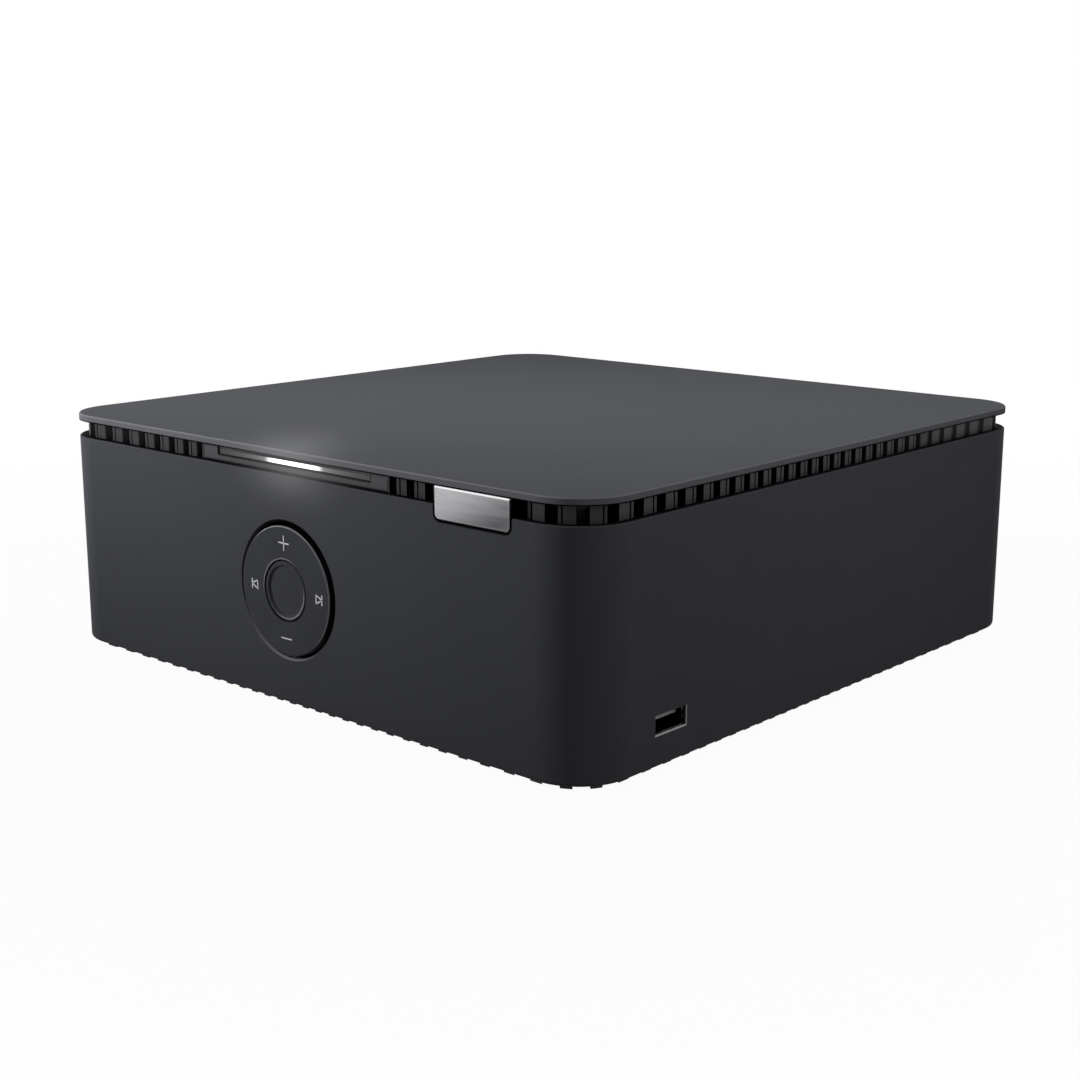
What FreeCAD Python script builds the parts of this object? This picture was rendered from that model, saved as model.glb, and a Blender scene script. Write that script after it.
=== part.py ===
import FreeCAD, Part
import math
import os

# Compact stereo amplifier. Lengths are in millimetres and angles in degrees.
# X points right, Y points to the back and Z points up. The origin is the centre
# of the footprint on the surface that the feet stand on. The front wall faces -Y.

os.makedirs("parts", exist_ok=True)
Vector = FreeCAD.Vector

# Overall form
body_width = 220.0
body_depth = 220.0
corner_radius = 16.3
foot_drop = 3.7
shell_height = 66.1
vent_gap = 5.0
lid_thickness = 2.1
lid_edge_chamfer = 0.35
lid_stud_radius = 1.5
lid_stud_length = 4.2
clip_radius = 3.4
clip_thickness = 0.8

# Clearances between pieces
fit_gap = 0.2
pin_clearance = 0.05
screw_clearance = 0.3

# Enclosure shell
shell_wall = 2.6
shell_bottom_round = 1.2
shell_top_chamfer = 0.25
column_inset = 14.0
column_radius = 4.5
column_web = 3.0

# Vent frame: ring of radial posts below the lid
slot_pitch = 3.0
slot_width_angle = 1.3
post_depth = 3.4
post_top_shadow = 0.5
post_rim_setback = 1.0
slot_floor_drop = 1.3
groove_width = 0.5
groove_depth = 1.0
narrow_strip = 1.0
flute_depth = 0.7
flute_first_angle = 117.0
flute_last_angle = 135.0
frame_skirt = 7.5
frame_lug_thickness = 2.4
lug_gap = 0.5
shelf_reach = 9.0
shelf_thickness = 1.8
baffle_inset = 9.5
baffle_wall = 1.2
baffle_drop = 8.0

# Light bar at the front
panel_half_width = 38.9
panel_thickness = 3.0
window_half_width = 32.4
window_height = 2.3
window_centre_below_lid = 1.95
guide_length = 8.0
guide_setback = 0.4
guide_play = 0.2
guide_board_gap = 0.3
guide_back_room = 2.5
panel_arm = 3.0
panel_arm_drop = 1.0
led_board_height = 7.0
led_board_thickness = 1.2
led_board_overhang = 5.0
led_count = 3
led_spacing = 8.0
led_size = (3.0, 1.4, 0.25)

# Badge plate, which hangs from the lid line into a notch of the shell
badge_width = 25.9
badge_side_margin = 24.6
badge_height = 8.6
badge_corner = 1.6
badge_proud = 0.35
badge_gap = 0.45
badge_bevel = 0.3
badge_pin_radius = 1.0
badge_pin_length = 2.4

# Control dial
dial_height_in_shell = 33.2
well_radius = 19.7
well_chamfer = 0.55
ring_radius = 18.7
ring_proud = 0.75
ring_thickness = 3.2
ring_edge_round = 0.5
button_hole_radius = 9.0
button_radius = 8.6
button_dish_radius = 7.5
button_dish_depth = 0.55
button_proud = 0.65
button_cap_thickness = 3.2
button_travel = 0.4
stem_radius = 3.5
sleeve_wall = 1.6
carrier_inner_radius = 12.2
carrier_outer_radius = 15.4
carrier_thickness = 1.8
trunnion_radius = 0.8
trunnion_reach = 1.9
ear_gap = 0.4
ear_thickness = 1.6
ear_width = 4.0
ear_nose = 1.6
root_overlap = 0.5
stem_clearance = 0.08
well_depth = 5.9
well_wall = 2.4
well_floor = 1.5
flange_half_width = 29.0
flange_half_height = 25.0
flange_corner = 4.0
dial_screw_x = 24.5
dial_screw_z = 20.5
actuator_radius = 1.2
actuator_circle = 10.4
actuator_gap = 0.6
actuator_hole_gap = 0.8
dome_radius = 3.0
dome_height = 0.5
dome_round_share = 0.8
board_pad = 1.0
control_board_corner = 2.0
control_chip_spot = (-12.0, 6.0)
control_chip_size = (9.0, 9.0, 1.2)
control_plug_x = 6.0
control_plug_rise = 8.0
control_plug_size = (12.0, 4.0, 5.0)

# Small hardware
screw_shank_radius = 1.3
screw_head_radius = 2.7
screw_head_height = 1.8
recess_radius = 1.1
recess_depth = 1.0
pilot_clearance = 0.02
pilot_depth = 12.0
frame_screw_length = 8.0
dial_screw_length = 8.0
base_screw_length = 10.0
boss_radius = 3.0
boss_floor = 0.6
board_thickness = 1.6

# Base plate
base_thickness = 2.0
tooth_drop = 1.35
tooth_depth = 6.0
tooth_gap_angle = 1.75
foot_radius = 8.0
foot_inset = 30.0
foot_stem_radius = 2.5
foot_stem_length = 3.5
foot_edge_round = 0.6
bay_post_radius = 4.0
bay_screw_stop = 0.8
bay_pilot_floor = 0.6
usb_pilot_sink = 0.8
intake_slot_width = 2.6
intake_slot_length = 24.0
intake_slot_pitch = 6.5
intake_rows = 11
intake_columns = 3
intake_centre_y = -6.0
standoff_inset = 5.0
standoff_screw_length = 8.0

# Connector bay at the rear
bay_side_margin = 22.0
bay_bottom_margin = 7.0
bay_top_margin = 9.0
bay_depth = 22.0
bay_corner = 4.0
bay_wall = 1.6
bay_sole = 3.6
bay_rim_setback = 0.3
panel_plate = 2.0
body_play = 0.1

# Boards
board_level = 11.3
board_side_margin = 9.0
board_aisle = 10.0
main_board_depth = 107.7
main_board_rear_gap = 0.3
power_board_width = 71.0
power_board_rear_margin = 22.0
power_board_usb_gap = 12.0

# Mains inlet
inlet_z = 23.5
inlet_flange = (26.0, 15.0, 1.5)
inlet_body = (21.0, 12.0, 16.0)
inlet_cavity_length = 14.4
inlet_cavity_height = 8.0
inlet_cavity_flat = 0.05
inlet_cavity_depth = 13.0
inlet_pin_pitch = 8.6
inlet_pin_radius = 1.18
inlet_pin_recess = 1.0
inlet_pin_tail = 5.0

# Power switch
switch_z = 45.0
switch_flange = (15.0, 21.0, 1.5)
switch_body = (13.4, 19.4, 13.0)
switch_wall = 0.9
switch_floor = 4.0
switch_tab = 7.0
switch_tab_size = (4.8, 0.8)
switch_tab_pitch = 5.0
rocker_length = 15.6
rocker_width = 10.6
rocker_depth = 5.6
rocker_rise = 3.6
rocker_pivot_depth = 3.2
rocker_tilt = 11.0
rocker_pin_radius = 1.0

# Binding posts
terminal_pitch = 19.0
terminal_rows = (47.5, 26.0)
bushing_radius = 7.0
bushing_flange = 2.0
bushing_neck_radius = 5.0
bushing_chamfer = 0.5
stud_radius = 3.0
stud_bore_radius = 2.0
stud_bore_depth = 16.0
stud_reach = 15.0
stud_tail = 12.0
thread_clearance = 0.05
wire_hole_radius = 1.1
wire_hole_margin = 0.4
nut_flats = 9.0
nut_thickness = 3.0
washer_radius = 5.0
washer_thickness = 1.0
cap_radius = 6.8
cap_overhang = 1.3
cap_chamfer = 0.6
cap_flutes = 20
cap_flute_radius = 0.7
cap_flute_bite = 0.45
cap_collar = 1.6
running_gap = 0.3

# Phono sockets
phono_pitch = 16.0
phono_rows = (27.0, 43.0)
phono_block_side = 7.0
phono_block_top = 6.5
phono_block_depth = 16.0
phono_block_gap = 0.1
phono_seat = 2.0
phono_sleeve_radius = 4.15
phono_sleeve_wall = 0.5
phono_reach = 9.5
phono_insert_setback = 1.0
phono_contact_radius = 1.65
phono_contact_depth = 8.4

# Optical, HDMI and network sockets and the pairing button
optical_size = (11.0, 11.4, 15.0)
optical_opening = 8.4
optical_cavity_depth = 10.0
optical_rim = 1.5
optical_nose_radius = 1.6
optical_nose_length = 1.2
shutter_thickness = 0.8
shutter_side_gap = 0.3
shutter_setback = 1.4
shutter_pin_radius = 0.6
shutter_pin_reach = 0.6
shutter_pin_drop = 0.95
hdmi_size = (15.0, 5.8, 12.0)
hdmi_wall = 0.35
hdmi_proud = 0.2
hdmi_bevel_share = 0.38
hdmi_plug_depth = 2.0
hdmi_tongue = (11.2, 1.2, 7.8)
hdmi_tongue_rise = 0.3
lan_size = (16.0, 13.6, 18.0)
lan_proud = 0.8
lan_opening = (11.9, 8.4)
lan_opening_rise = 0.6
lan_cavity_depth = 13.0
lan_latch = (6.0, 2.2)
lan_latch_start = 4.0
lan_contacts = 8
lan_contact_pitch = 1.02
lan_contact_size = (0.4, 0.7)
lan_contact_setback = 2.5
pairing_radius = 2.5
pairing_flange = 1.0
pairing_flange_thickness = 1.2
pairing_tail = 4.0
pairing_height_above_board = 6.0
pairing_proud = 0.8
pairing_travel = 0.4
pairing_switch_size = (6.0, 4.0, 8.0)
socket_cut_gap = 0.2

# USB socket in the right wall
usb_from_front = 34.0
usb_height_in_shell = 11.3
usb_window = (13.0, 5.5)
usb_inner = (12.5, 5.1)
usb_metal = 0.35
usb_depth = 14.0
usb_lip_wall = 1.0
usb_pocket_gap = 0.4
usb_plug_depth = 2.5
usb_tongue_size = (11.1, 1.8)
usb_tongue_setback = 1.6
usb_tongue_drop = 0.35
usb_contacts = 4
usb_contact_pitch = 2.3
usb_contact_size = (1.0, 0.2)
usb_contact_setback = 0.6
usb_board_size = (26.0, 24.0)
usb_board_setback = 1.7
usb_spot_inset = 3.5
usb_spot_half_pitch = 8.0
usb_screw_length = 6.0

# Main board's components; places are measured from its edges
plug_size = (16.0, 6.0, 8.0)
plug_edge_margin = 10.0
board_end_margin = 10.0
small_can_count = 6
small_can_radius = 3.0
small_can_height = 8.0
small_can_y = 8.0
control_socket_from_right = 26.0
control_socket_y = 7.0
supply_plug_y = 24.0
speaker_plug_y = 52.0
chip_pitch = 32.0
chip_size = (14.0, 14.0, 1.2)
heatsink_size = (58.0, 28.0, 5.0)
heatsink_y = 30.0
heatsink_fins = 11
heatsink_fin = 1.6
heatsink_fin_height = 26.0
heatsink_leg_radius = 2.0
heatsink_leg_inset = 3.0
choke_count = 4
choke_radius = 6.0
choke_height = 12.0
choke_edge_round = 1.0
choke_y = 58.0
processor_size = (16.0, 12.0, 1.4)
codec_size = (10.0, 10.0, 1.2)
module_size = (20.0, 18.0, 0.8)
module_can_size = (14.5, 15.0, 2.2)
module_can_margin = 1.5
logic_row_y = 78.0

# Power board's components; places are measured from its left edge
capacitor_radius = 11.0
capacitor_height = 36.0
capacitor_edge_round = 1.2
capacitor_columns = (18.0, 44.0)
core_size = (36.0, 40.0, 30.0)
core_thickness = 18.0
core_limb = 6.0
bobbin_base = 3.0
transformer_x = 36.0
filter_size = (14.0, 10.0, 16.0)
filter_x = 33.0
fuse_span = (48.0, 68.0)
fuse_radius = 3.0
fuse_sink = 0.4
cooling_plate_x = 57.0
cooling_plate = (2.0, 46.0, 26.0)
cooling_plate_shift = -5.0
output_can_radius = 5.0
output_can_height = 20.0
output_can_x = 7.0
output_can_pitch = 14.0
supply_plug_x = 8.0
mains_plug_x = 48.0

# Antenna and wiring
antenna_size = (0.8, 38.0, 5.0)
antenna_column_gap = 3.5
antenna_lift = 0.4
antenna_feed = 10.0
wire_radius = 0.9
cable_radius = 1.35
coax_radius = 0.6
wire_layer = 3.0
wire_lead = 10.0
speaker_pin_pitch = 3.6
speaker_wire_reach = 14.0
speaker_wire_rise = 20.0
speaker_wire_drop = 12.0
supply_wires = 4
supply_pin_pitch = 3.4
supply_wire_rise = 9.0
plug_pin_offset = 3.0
mains_lead = 9.0
live_rise = 18.0
neutral_lead = 7.0
neutral_rise = 13.0
control_lead = 14.0
control_reach = 35.0
control_lift = 20.0
control_drop = 14.0
light_cable_x = -24.0
light_cable_drop = 3.0
light_lead = 12.0
light_reach = 20.0
light_sag = 7.0
light_rise = 20.0
usb_cable_lift = 1.6
usb_cable_offset = 5.0
usb_lead = 14.0
usb_reach = 50.0
usb_sway = 10.0
usb_rise = 6.0
usb_tail = 19.0
antenna_reach = 30.0
antenna_sag = 2.0
antenna_drop = 16.0

# Levels and faces that follow from the sizes above
front_face = -body_depth / 2
rear_face = body_depth / 2
right_face = body_width / 2
shell_bottom = foot_drop
shell_top = shell_bottom + shell_height
lid_underside = shell_top + vent_gap
lid_top = lid_underside + lid_thickness
frame_inset = shell_wall + fit_gap
band_face = front_face + frame_inset
post_top = lid_underside - post_top_shadow
slot_floor = shell_top - slot_floor_drop
frame_bottom = shell_top - frame_skirt
base_top = shell_bottom + base_thickness
board_underside = base_top + board_level - base_thickness
board_top = board_underside + board_thickness
pilot_radius = screw_shank_radius + pilot_clearance
clear_radius = screw_shank_radius + screw_clearance
column_x = body_width / 2 - column_inset
column_y = body_depth / 2 - column_inset
dial_z = shell_bottom + dial_height_in_shell
wall_inside = front_face + shell_wall
panel_face = rear_face - bay_depth
panel_back = panel_face - panel_plate
bay_half_width = body_width / 2 - bay_side_margin
bay_low = shell_bottom + bay_bottom_margin
bay_high = shell_top - bay_top_margin
badge_right = right_face - badge_side_margin
badge_left = badge_right - badge_width
usb_y = front_face + usb_from_front
power_board_right = right_face - board_side_margin
power_board_left = power_board_right - power_board_width
power_board_back = panel_back - power_board_rear_margin
power_board_front = usb_y + usb_board_size[1] / 2 + power_board_usb_gap
main_board_left = -bay_half_width
main_board_right = power_board_left - board_aisle
main_board_back = panel_back - main_board_rear_gap
main_board_front = main_board_back - main_board_depth


def spread(low, high, widths):
    """Centres of pieces of these widths, laid from low to high with equal gaps."""
    gap = (high - low - sum(widths)) / (len(widths) + 1)
    centres = []
    edge = low
    for width in widths:
        centres.append(edge + gap + width / 2)
        edge += gap + width
    return centres


# Sockets in the bay, from left to right
bay_half_room = bay_half_width - fit_gap - bay_wall
socket_widths = (
    2 * (pairing_radius + pairing_flange),
    lan_size[0],
    phono_pitch + 2 * phono_block_side,
    hdmi_size[0],
    optical_size[0],
    terminal_pitch + 2 * cap_radius,
    inlet_flange[0],
)
socket_places = spread(-bay_half_room, bay_half_room, socket_widths)
pairing_x, lan_x, phono_x, hdmi_x, optical_x, terminal_x, inlet_x = socket_places
phono_columns = (phono_x + phono_pitch / 2, phono_x - phono_pitch / 2)
terminal_columns = (terminal_x + terminal_pitch / 2, terminal_x - terminal_pitch / 2)

# Rows of components on the power board, from the front to the back
power_rows = (2 * capacitor_radius, core_size[1], filter_size[1], plug_size[1])
capacitor_y, transformer_y, filter_y, mains_plug_y = spread(power_board_front, power_board_back, power_rows)


def block(low, high):
    """Box between two opposite corners."""
    return Part.makeBox(high[0] - low[0], high[1] - low[1], high[2] - low[2], Vector(*low))


def centred_block(x, z, width, height, y_front, y_back):
    """Box centred on x and z, between two depths."""
    low = (x - width / 2, y_front, z - height / 2)
    return block(low, (x + width / 2, y_back, z + height / 2))


def rod(radius, start, end):
    """Solid cylinder between two points."""
    axis = Vector(*end) - Vector(*start)
    return Part.makeCylinder(radius, axis.Length, Vector(*start), axis)


def tube(outer, inner, start, end):
    """Hollow cylinder between two points."""
    return rod(outer, start, end).cut(rod(inner, start, end))


def joined(shapes):
    """All shapes fused into one."""
    first = shapes[0]
    if len(shapes) == 1:
        return first
    return first.multiFuse(shapes[1:]).removeSplitter()


def group(shapes):
    """Separate solids kept together in one node."""
    return Part.makeCompound(shapes)


def outline(half_x, half_y, radius, z):
    """Closed wire of a rectangle with round corners, at height z."""
    corners = [(1, -1, -90), (1, 1, 0), (-1, 1, 90), (-1, -1, 180)]
    points = []
    for sign_x, sign_y, start in corners:
        centre = Vector(sign_x * (half_x - radius), sign_y * (half_y - radius), z)
        trio = []
        for turn in (0, 45, 90):
            angle = math.radians(start + turn)
            trio.append(centre + Vector(radius * math.cos(angle), radius * math.sin(angle), 0))
        points.append(trio)
    edges = []
    for index, trio in enumerate(points):
        edges.append(Part.Arc(*trio).toShape())
        following = points[(index + 1) % len(points)][0]
        edges.append(Part.LineSegment(trio[2], following).toShape())
    return Part.Wire(edges)


def slab(inset, low, high):
    """Prism of the body's outline, drawn in by inset, between two heights."""
    wire = outline(body_width / 2 - inset, body_depth / 2 - inset, corner_radius - inset, low)
    return Part.Face(wire).extrude(Vector(0, 0, high - low))


def band(outer_inset, inner_inset, low, high):
    """Ring between two insets of the body's outline."""
    inner_radius = max(corner_radius - inner_inset, 1.0)
    hole = outline(body_width / 2 - inner_inset, body_depth / 2 - inner_inset, inner_radius, low)
    return slab(outer_inset, low, high).cut(Part.Face(hole).extrude(Vector(0, 0, high - low)))


def heading(angle):
    """Unit vector from the centre; 0 is the front and 90 is the right side."""
    turn = math.radians(angle)
    return Vector(math.sin(turn), -math.cos(turn), 0)


def wedge(angle, width_angle, low, high):
    """Radial cutter that spans width_angle about angle."""
    near = body_width / 2 - baffle_inset - shelf_reach
    far = body_width
    corners = []
    for reach, side in ((near, -1), (far, -1), (far, 1), (near, 1)):
        point = heading(angle + side * width_angle / 2) * reach
        corners.append(Vector(point.x, point.y, low))
    face = Part.Face(Part.makePolygon(corners + corners[:1]))
    return face.extrude(Vector(0, 0, high - low))


def edges_at_height(shape, z):
    """Edges of a shape that lie flat at height z."""
    chosen = []
    for edge in shape.Edges:
        if abs(edge.BoundBox.ZMin - z) < 1e-6 and abs(edge.BoundBox.ZMax - z) < 1e-6:
            chosen.append(edge)
    return chosen


def screw(seat, direction, length):
    """Pan-head screw: its head stands on seat and its shank runs along direction."""
    seat = Vector(*seat)
    direction = Vector(*direction)
    shank = Part.makeCylinder(screw_shank_radius, length, seat, direction)
    head = Part.makeCylinder(screw_head_radius, screw_head_height, seat, direction * -1)
    top = seat - direction * (screw_head_height - recess_depth)
    recess = Part.makeCylinder(recess_radius, recess_depth, top, direction * -1)
    return head.fuse(shank).cut(recess).removeSplitter()


def rounded_panel(x_low, x_high, z_low, z_high, radii, y_front, y_back):
    """Plate in the XZ plane; radii are for the lower and the upper corners."""
    lower, upper = radii
    corners = [(x_high, z_low, lower, -90), (x_high, z_high, upper, 0),
               (x_low, z_high, upper, 90), (x_low, z_low, lower, 180)]
    trios = []
    for x, z, radius, start in corners:
        inward_x = -1 if x == x_high else 1
        inward_z = -1 if z == z_high else 1
        centre = Vector(x + inward_x * radius, y_front, z + inward_z * radius)
        trio = []
        for turn in (0, 45, 90):
            angle = math.radians(start + turn)
            trio.append(centre + Vector(radius * math.cos(angle), 0, radius * math.sin(angle)))
        trios.append(trio)
    edges = []
    for index, trio in enumerate(trios):
        if corners[index][2] > 0:
            edges.append(Part.Arc(*trio).toShape())
        following = trios[(index + 1) % len(trios)][0]
        edges.append(Part.LineSegment(trio[2], following).toShape())
    return Part.Face(Part.Wire(edges)).extrude(Vector(0, y_back - y_front, 0))


bend_share = 0.45


def cable(points, radius):
    """Round cable: straight runs joined by tangent arcs at the inner points."""
    spots = [Vector(*point) for point in points]
    edges = []
    start = spots[0]
    for index in range(1, len(spots) - 1):
        before = spots[index - 1] - spots[index]
        after = spots[index + 1] - spots[index]
        cut = bend_share * min(before.Length, after.Length)
        into = spots[index] + before.normalize() * cut
        out = spots[index] + after.normalize() * cut
        half_turn = (math.pi - before.getAngle(after)) / 2
        bend = cut / math.tan(half_turn)
        middle_way = (before + after).normalize()
        centre = spots[index] + middle_way * math.hypot(bend, cut)
        middle = centre - middle_way * bend
        edges.append(Part.LineSegment(start, into).toShape())
        edges.append(Part.Arc(into, middle, out).toShape())
        start = out
    edges.append(Part.LineSegment(start, spots[-1]).toShape())
    path = Part.Wire(edges)
    circle = Part.Wire([Part.makeCircle(radius, spots[0], spots[1] - spots[0])])
    return path.makePipeShell([circle], True, False)


def corner_spots():
    """Centres of the four corner columns."""
    return [(sx * column_x, sy * column_y) for sx in (-1, 1) for sy in (-1, 1)]


# Vent frame and lid


def slot_angles():
    """Angles of every vent position round the body."""
    count = int(round(360.0 / slot_pitch))
    return [index * slot_pitch for index in range(count)]


def signed(angle):
    """Angle from the front centre, between -180 and 180."""
    return (angle + 180.0) % 360.0 - 180.0


def panel_angle():
    """Half of the angle that the light panel spans."""
    return math.degrees(math.atan2(panel_half_width, -band_face))


def badge_angles():
    """Angles of the badge plate's two sides on the vent band."""
    left = math.degrees(math.atan2(badge_left, -band_face))
    right = math.degrees(math.atan2(badge_right, -band_face))
    return left, right


def slot_kind(angle):
    """What a vent position holds: an open slot, a shallow flute or nothing."""
    turn = signed(angle)
    margin = slot_width_angle / 2
    if abs(turn) < panel_angle() + margin:
        return "plain"
    left, right = badge_angles()
    if left + margin < turn < right - margin:
        return "plain"
    if flute_first_angle <= angle <= flute_last_angle:
        return "flute"
    return "open"


def groove_angle(angle):
    """Angle of the groove in the post that follows the slot at angle."""
    side = int(math.floor((angle + 45.0 + slot_pitch / 2) / 90.0)) % 4
    face_centre = side * 90.0
    half_width = -band_face
    step = narrow_strip + groove_width / 2
    if side % 2 == 0:
        edge = angle + slot_width_angle / 2
        place = half_width * math.tan(math.radians(edge - face_centre)) + step
    else:
        edge = angle + slot_pitch - slot_width_angle / 2
        place = half_width * math.tan(math.radians(edge - face_centre)) - step
    return face_centre + math.degrees(math.atan2(place, half_width))


def post_groove(angle):
    """Narrow radial cutter for the groove of one post."""
    direction = heading(groove_angle(angle))
    side = Vector(direction.y, -direction.x, 0) * (groove_width / 2)
    near = direction * (body_width / 2 - frame_inset - post_depth)
    far = direction * body_width
    corners = []
    for point in (near + side, far + side, far - side, near - side):
        corners.append(Vector(point.x, point.y, slot_floor))
    face = Part.Face(Part.makePolygon(corners + corners[:1]))
    return face.extrude(Vector(0, 0, post_top - slot_floor))


def lid_stud_spots():
    """Places of the lid's studs, two along each side."""
    inset = baffle_inset + baffle_wall + clip_radius + screw_clearance
    reach_x = body_width / 2 - inset
    reach_y = body_depth / 2 - inset
    along = body_width / 4
    spots = []
    for sign in (-1, 1):
        for other in (-1, 1):
            spots.append((other * along, sign * reach_y))
            spots.append((sign * reach_x, other * along))
    return spots


def top_lid():
    """Flat lid plate with studs under it."""
    plate = slab(0, lid_underside, lid_top)
    plate = plate.makeChamfer(lid_edge_chamfer, edges_at_height(plate, lid_top))
    studs = []
    for x, y in lid_stud_spots():
        studs.append(rod(lid_stud_radius, (x, y, lid_underside - lid_stud_length), (x, y, lid_underside)))
    return joined([plate] + studs)


def lid_clips():
    """Push-on washers that hold the lid's studs under the vent frame's shelf."""
    top = lid_underside - shelf_thickness
    clips = []
    for x, y in lid_stud_spots():
        clips.append(tube(clip_radius, lid_stud_radius, (x, y, top - clip_thickness), (x, y, top)))
    return group(clips)


def vent_frame():
    """Ring of posts with its shelf, light baffle and corner lugs."""
    comb = band(frame_inset, frame_inset + post_depth, frame_bottom, post_top)
    skin = band(frame_inset, frame_inset + flute_depth, slot_floor, post_top)
    groove_skin = band(frame_inset, frame_inset + groove_depth, slot_floor, post_top)
    open_cuts = []
    flute_cuts = []
    grooves = []
    for angle in slot_angles():
        kind = slot_kind(angle)
        if kind == "open":
            open_cuts.append(wedge(angle, slot_width_angle, slot_floor, post_top))
            if slot_kind((angle + slot_pitch) % 360.0) == "open":
                grooves.append(post_groove(angle))
        if kind == "flute":
            flute_cuts.append(wedge(angle, slot_width_angle, slot_floor, post_top))
    comb = comb.cut(group(open_cuts))
    comb = comb.cut(skin.common(group(flute_cuts)))
    comb = comb.cut(groove_skin.common(group(grooves)))
    shelf_inner = baffle_inset + shelf_reach
    rim = band(frame_inset + post_rim_setback, shelf_inner, post_top, lid_underside)
    shelf_low = lid_underside - shelf_thickness
    shelf = band(frame_inset + post_depth, shelf_inner, shelf_low, post_top)
    baffle = band(baffle_inset, baffle_inset + baffle_wall, lid_underside - baffle_drop, shelf_low)
    frame = joined([comb, rim, shelf, baffle] + frame_lugs())
    notch_back = band_face + post_depth
    half = panel_half_width + fit_gap
    notch = block((-half, band_face - 1, slot_floor), (half, notch_back, lid_underside))
    frame = frame.cut(notch)
    passage_top = window_z() + window_height / 2 + fit_gap
    passage = block((-half, notch_back - 1, slot_floor), (half, wall_inside + guide_room(), passage_top))
    frame = frame.cut(passage)
    for x, y in lid_stud_spots():
        frame = frame.cut(rod(lid_stud_radius + fit_gap, (x, y, shelf_low), (x, y, lid_underside)))
    for x, y in corner_spots():
        frame = frame.cut(rod(clear_radius, (x, y, frame_bottom), (x, y, shelf_low)))
    pin_end = band_face + badge_pin_length + fit_gap
    for x, z in badge_pin_spots():
        frame = frame.cut(rod(badge_pin_radius + pin_clearance, (x, band_face, z), (x, pin_end, z)))
    return frame


def frame_lugs():
    """Corner gussets that rest on the shell's columns."""
    lugs = []
    reach = column_inset + column_radius
    for x, y in corner_spots():
        sx = math.copysign(1, x)
        sy = math.copysign(1, y)
        x_in = sx * (body_width / 2 - reach)
        y_in = sy * (body_depth / 2 - reach)
        x_out = sx * body_width / 2
        y_out = sy * body_depth / 2
        low = (min(x_in, x_out), min(y_in, y_out), frame_bottom)
        high = (max(x_in, x_out), max(y_in, y_out), frame_bottom + frame_lug_thickness)
        lugs.append(block(low, high).common(slab(frame_inset + lug_gap, frame_bottom, shell_top)))
    return lugs


def frame_screws():
    """Screws that hold the vent frame on the shell's columns."""
    seat = frame_bottom + frame_lug_thickness
    return group([screw((x, y, seat), (0, 0, -1), frame_screw_length) for x, y in corner_spots()])


# Light bar


def guide_room():
    """Depth behind the shell wall that the light guide and its board need."""
    return guide_length + led_board_thickness + guide_back_room


def window_z():
    """Height of the light window's centre."""
    return lid_underside - window_centre_below_lid


def light_panel():
    """Plain panel between the posts, with the long window."""
    front = band_face
    half = panel_half_width
    low = slot_floor + fit_gap
    high = lid_underside - fit_gap
    back = front + panel_thickness
    plate = block((-half, front, low), (half, back, high))
    plate = plate.cut(centred_block(0, window_z(), 2 * window_half_width, window_height, front - 1, back + 1))
    arms = []
    for sign in (-1, 1):
        x = sign * (window_half_width + panel_arm)
        arm_back = front + guide_setback + guide_length
        arms.append(centred_block(x, window_z() - panel_arm_drop, panel_arm, panel_arm, back, arm_back))
    return joined([plate] + arms)


def light_guide():
    """Clear bar in the window, set back a little from the panel's face."""
    front = band_face + guide_setback
    width = 2 * window_half_width - guide_play
    height = window_height - guide_play
    return centred_block(0, window_z(), width, height, front, front + guide_length - guide_board_gap)


def led_board():
    """Narrow board with the light sources behind the guide."""
    front = band_face + guide_setback + guide_length
    centre = window_z() - led_board_height / 2 + window_height / 2
    width = 2 * (window_half_width + led_board_overhang)
    board = centred_block(0, centre, width, led_board_height, front, front + led_board_thickness)
    parts = [board]
    led_width, led_height, led_proud = led_size
    for index in range(led_count):
        x = (index - (led_count - 1) / 2) * led_spacing
        parts.append(centred_block(x, window_z(), led_width, led_height, front - led_proud, front))
    return joined(parts)


# Badge


def badge_low():
    """Height of the badge plate's lower edge."""
    return lid_underside - fit_gap / 2 - badge_height


def badge_pin_spots():
    """Places of the two pins on the badge's back."""
    middle = (badge_left + badge_right) / 2
    quarter = (badge_right - badge_left) / 4
    z = badge_low() + badge_height / 3
    return [(middle - quarter, z), (middle + quarter, z)]


def badge_plate():
    """Bare metal plate with round lower corners."""
    high = lid_underside - fit_gap / 2
    face = front_face - badge_proud
    plate = rounded_panel(badge_left, badge_right, badge_low(), high, (badge_corner, 0.0), face, band_face)
    front_edges = []
    for edge in plate.Edges:
        if abs(edge.BoundBox.YMin - face) < 1e-6 and abs(edge.BoundBox.YMax - face) < 1e-6:
            front_edges.append(edge)
    plate = plate.makeChamfer(badge_bevel, front_edges)
    pins = []
    for x, z in badge_pin_spots():
        pins.append(rod(badge_pin_radius, (x, band_face, z), (x, band_face + badge_pin_length, z)))
    return joined([plate] + pins)


# Enclosure shell


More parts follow.
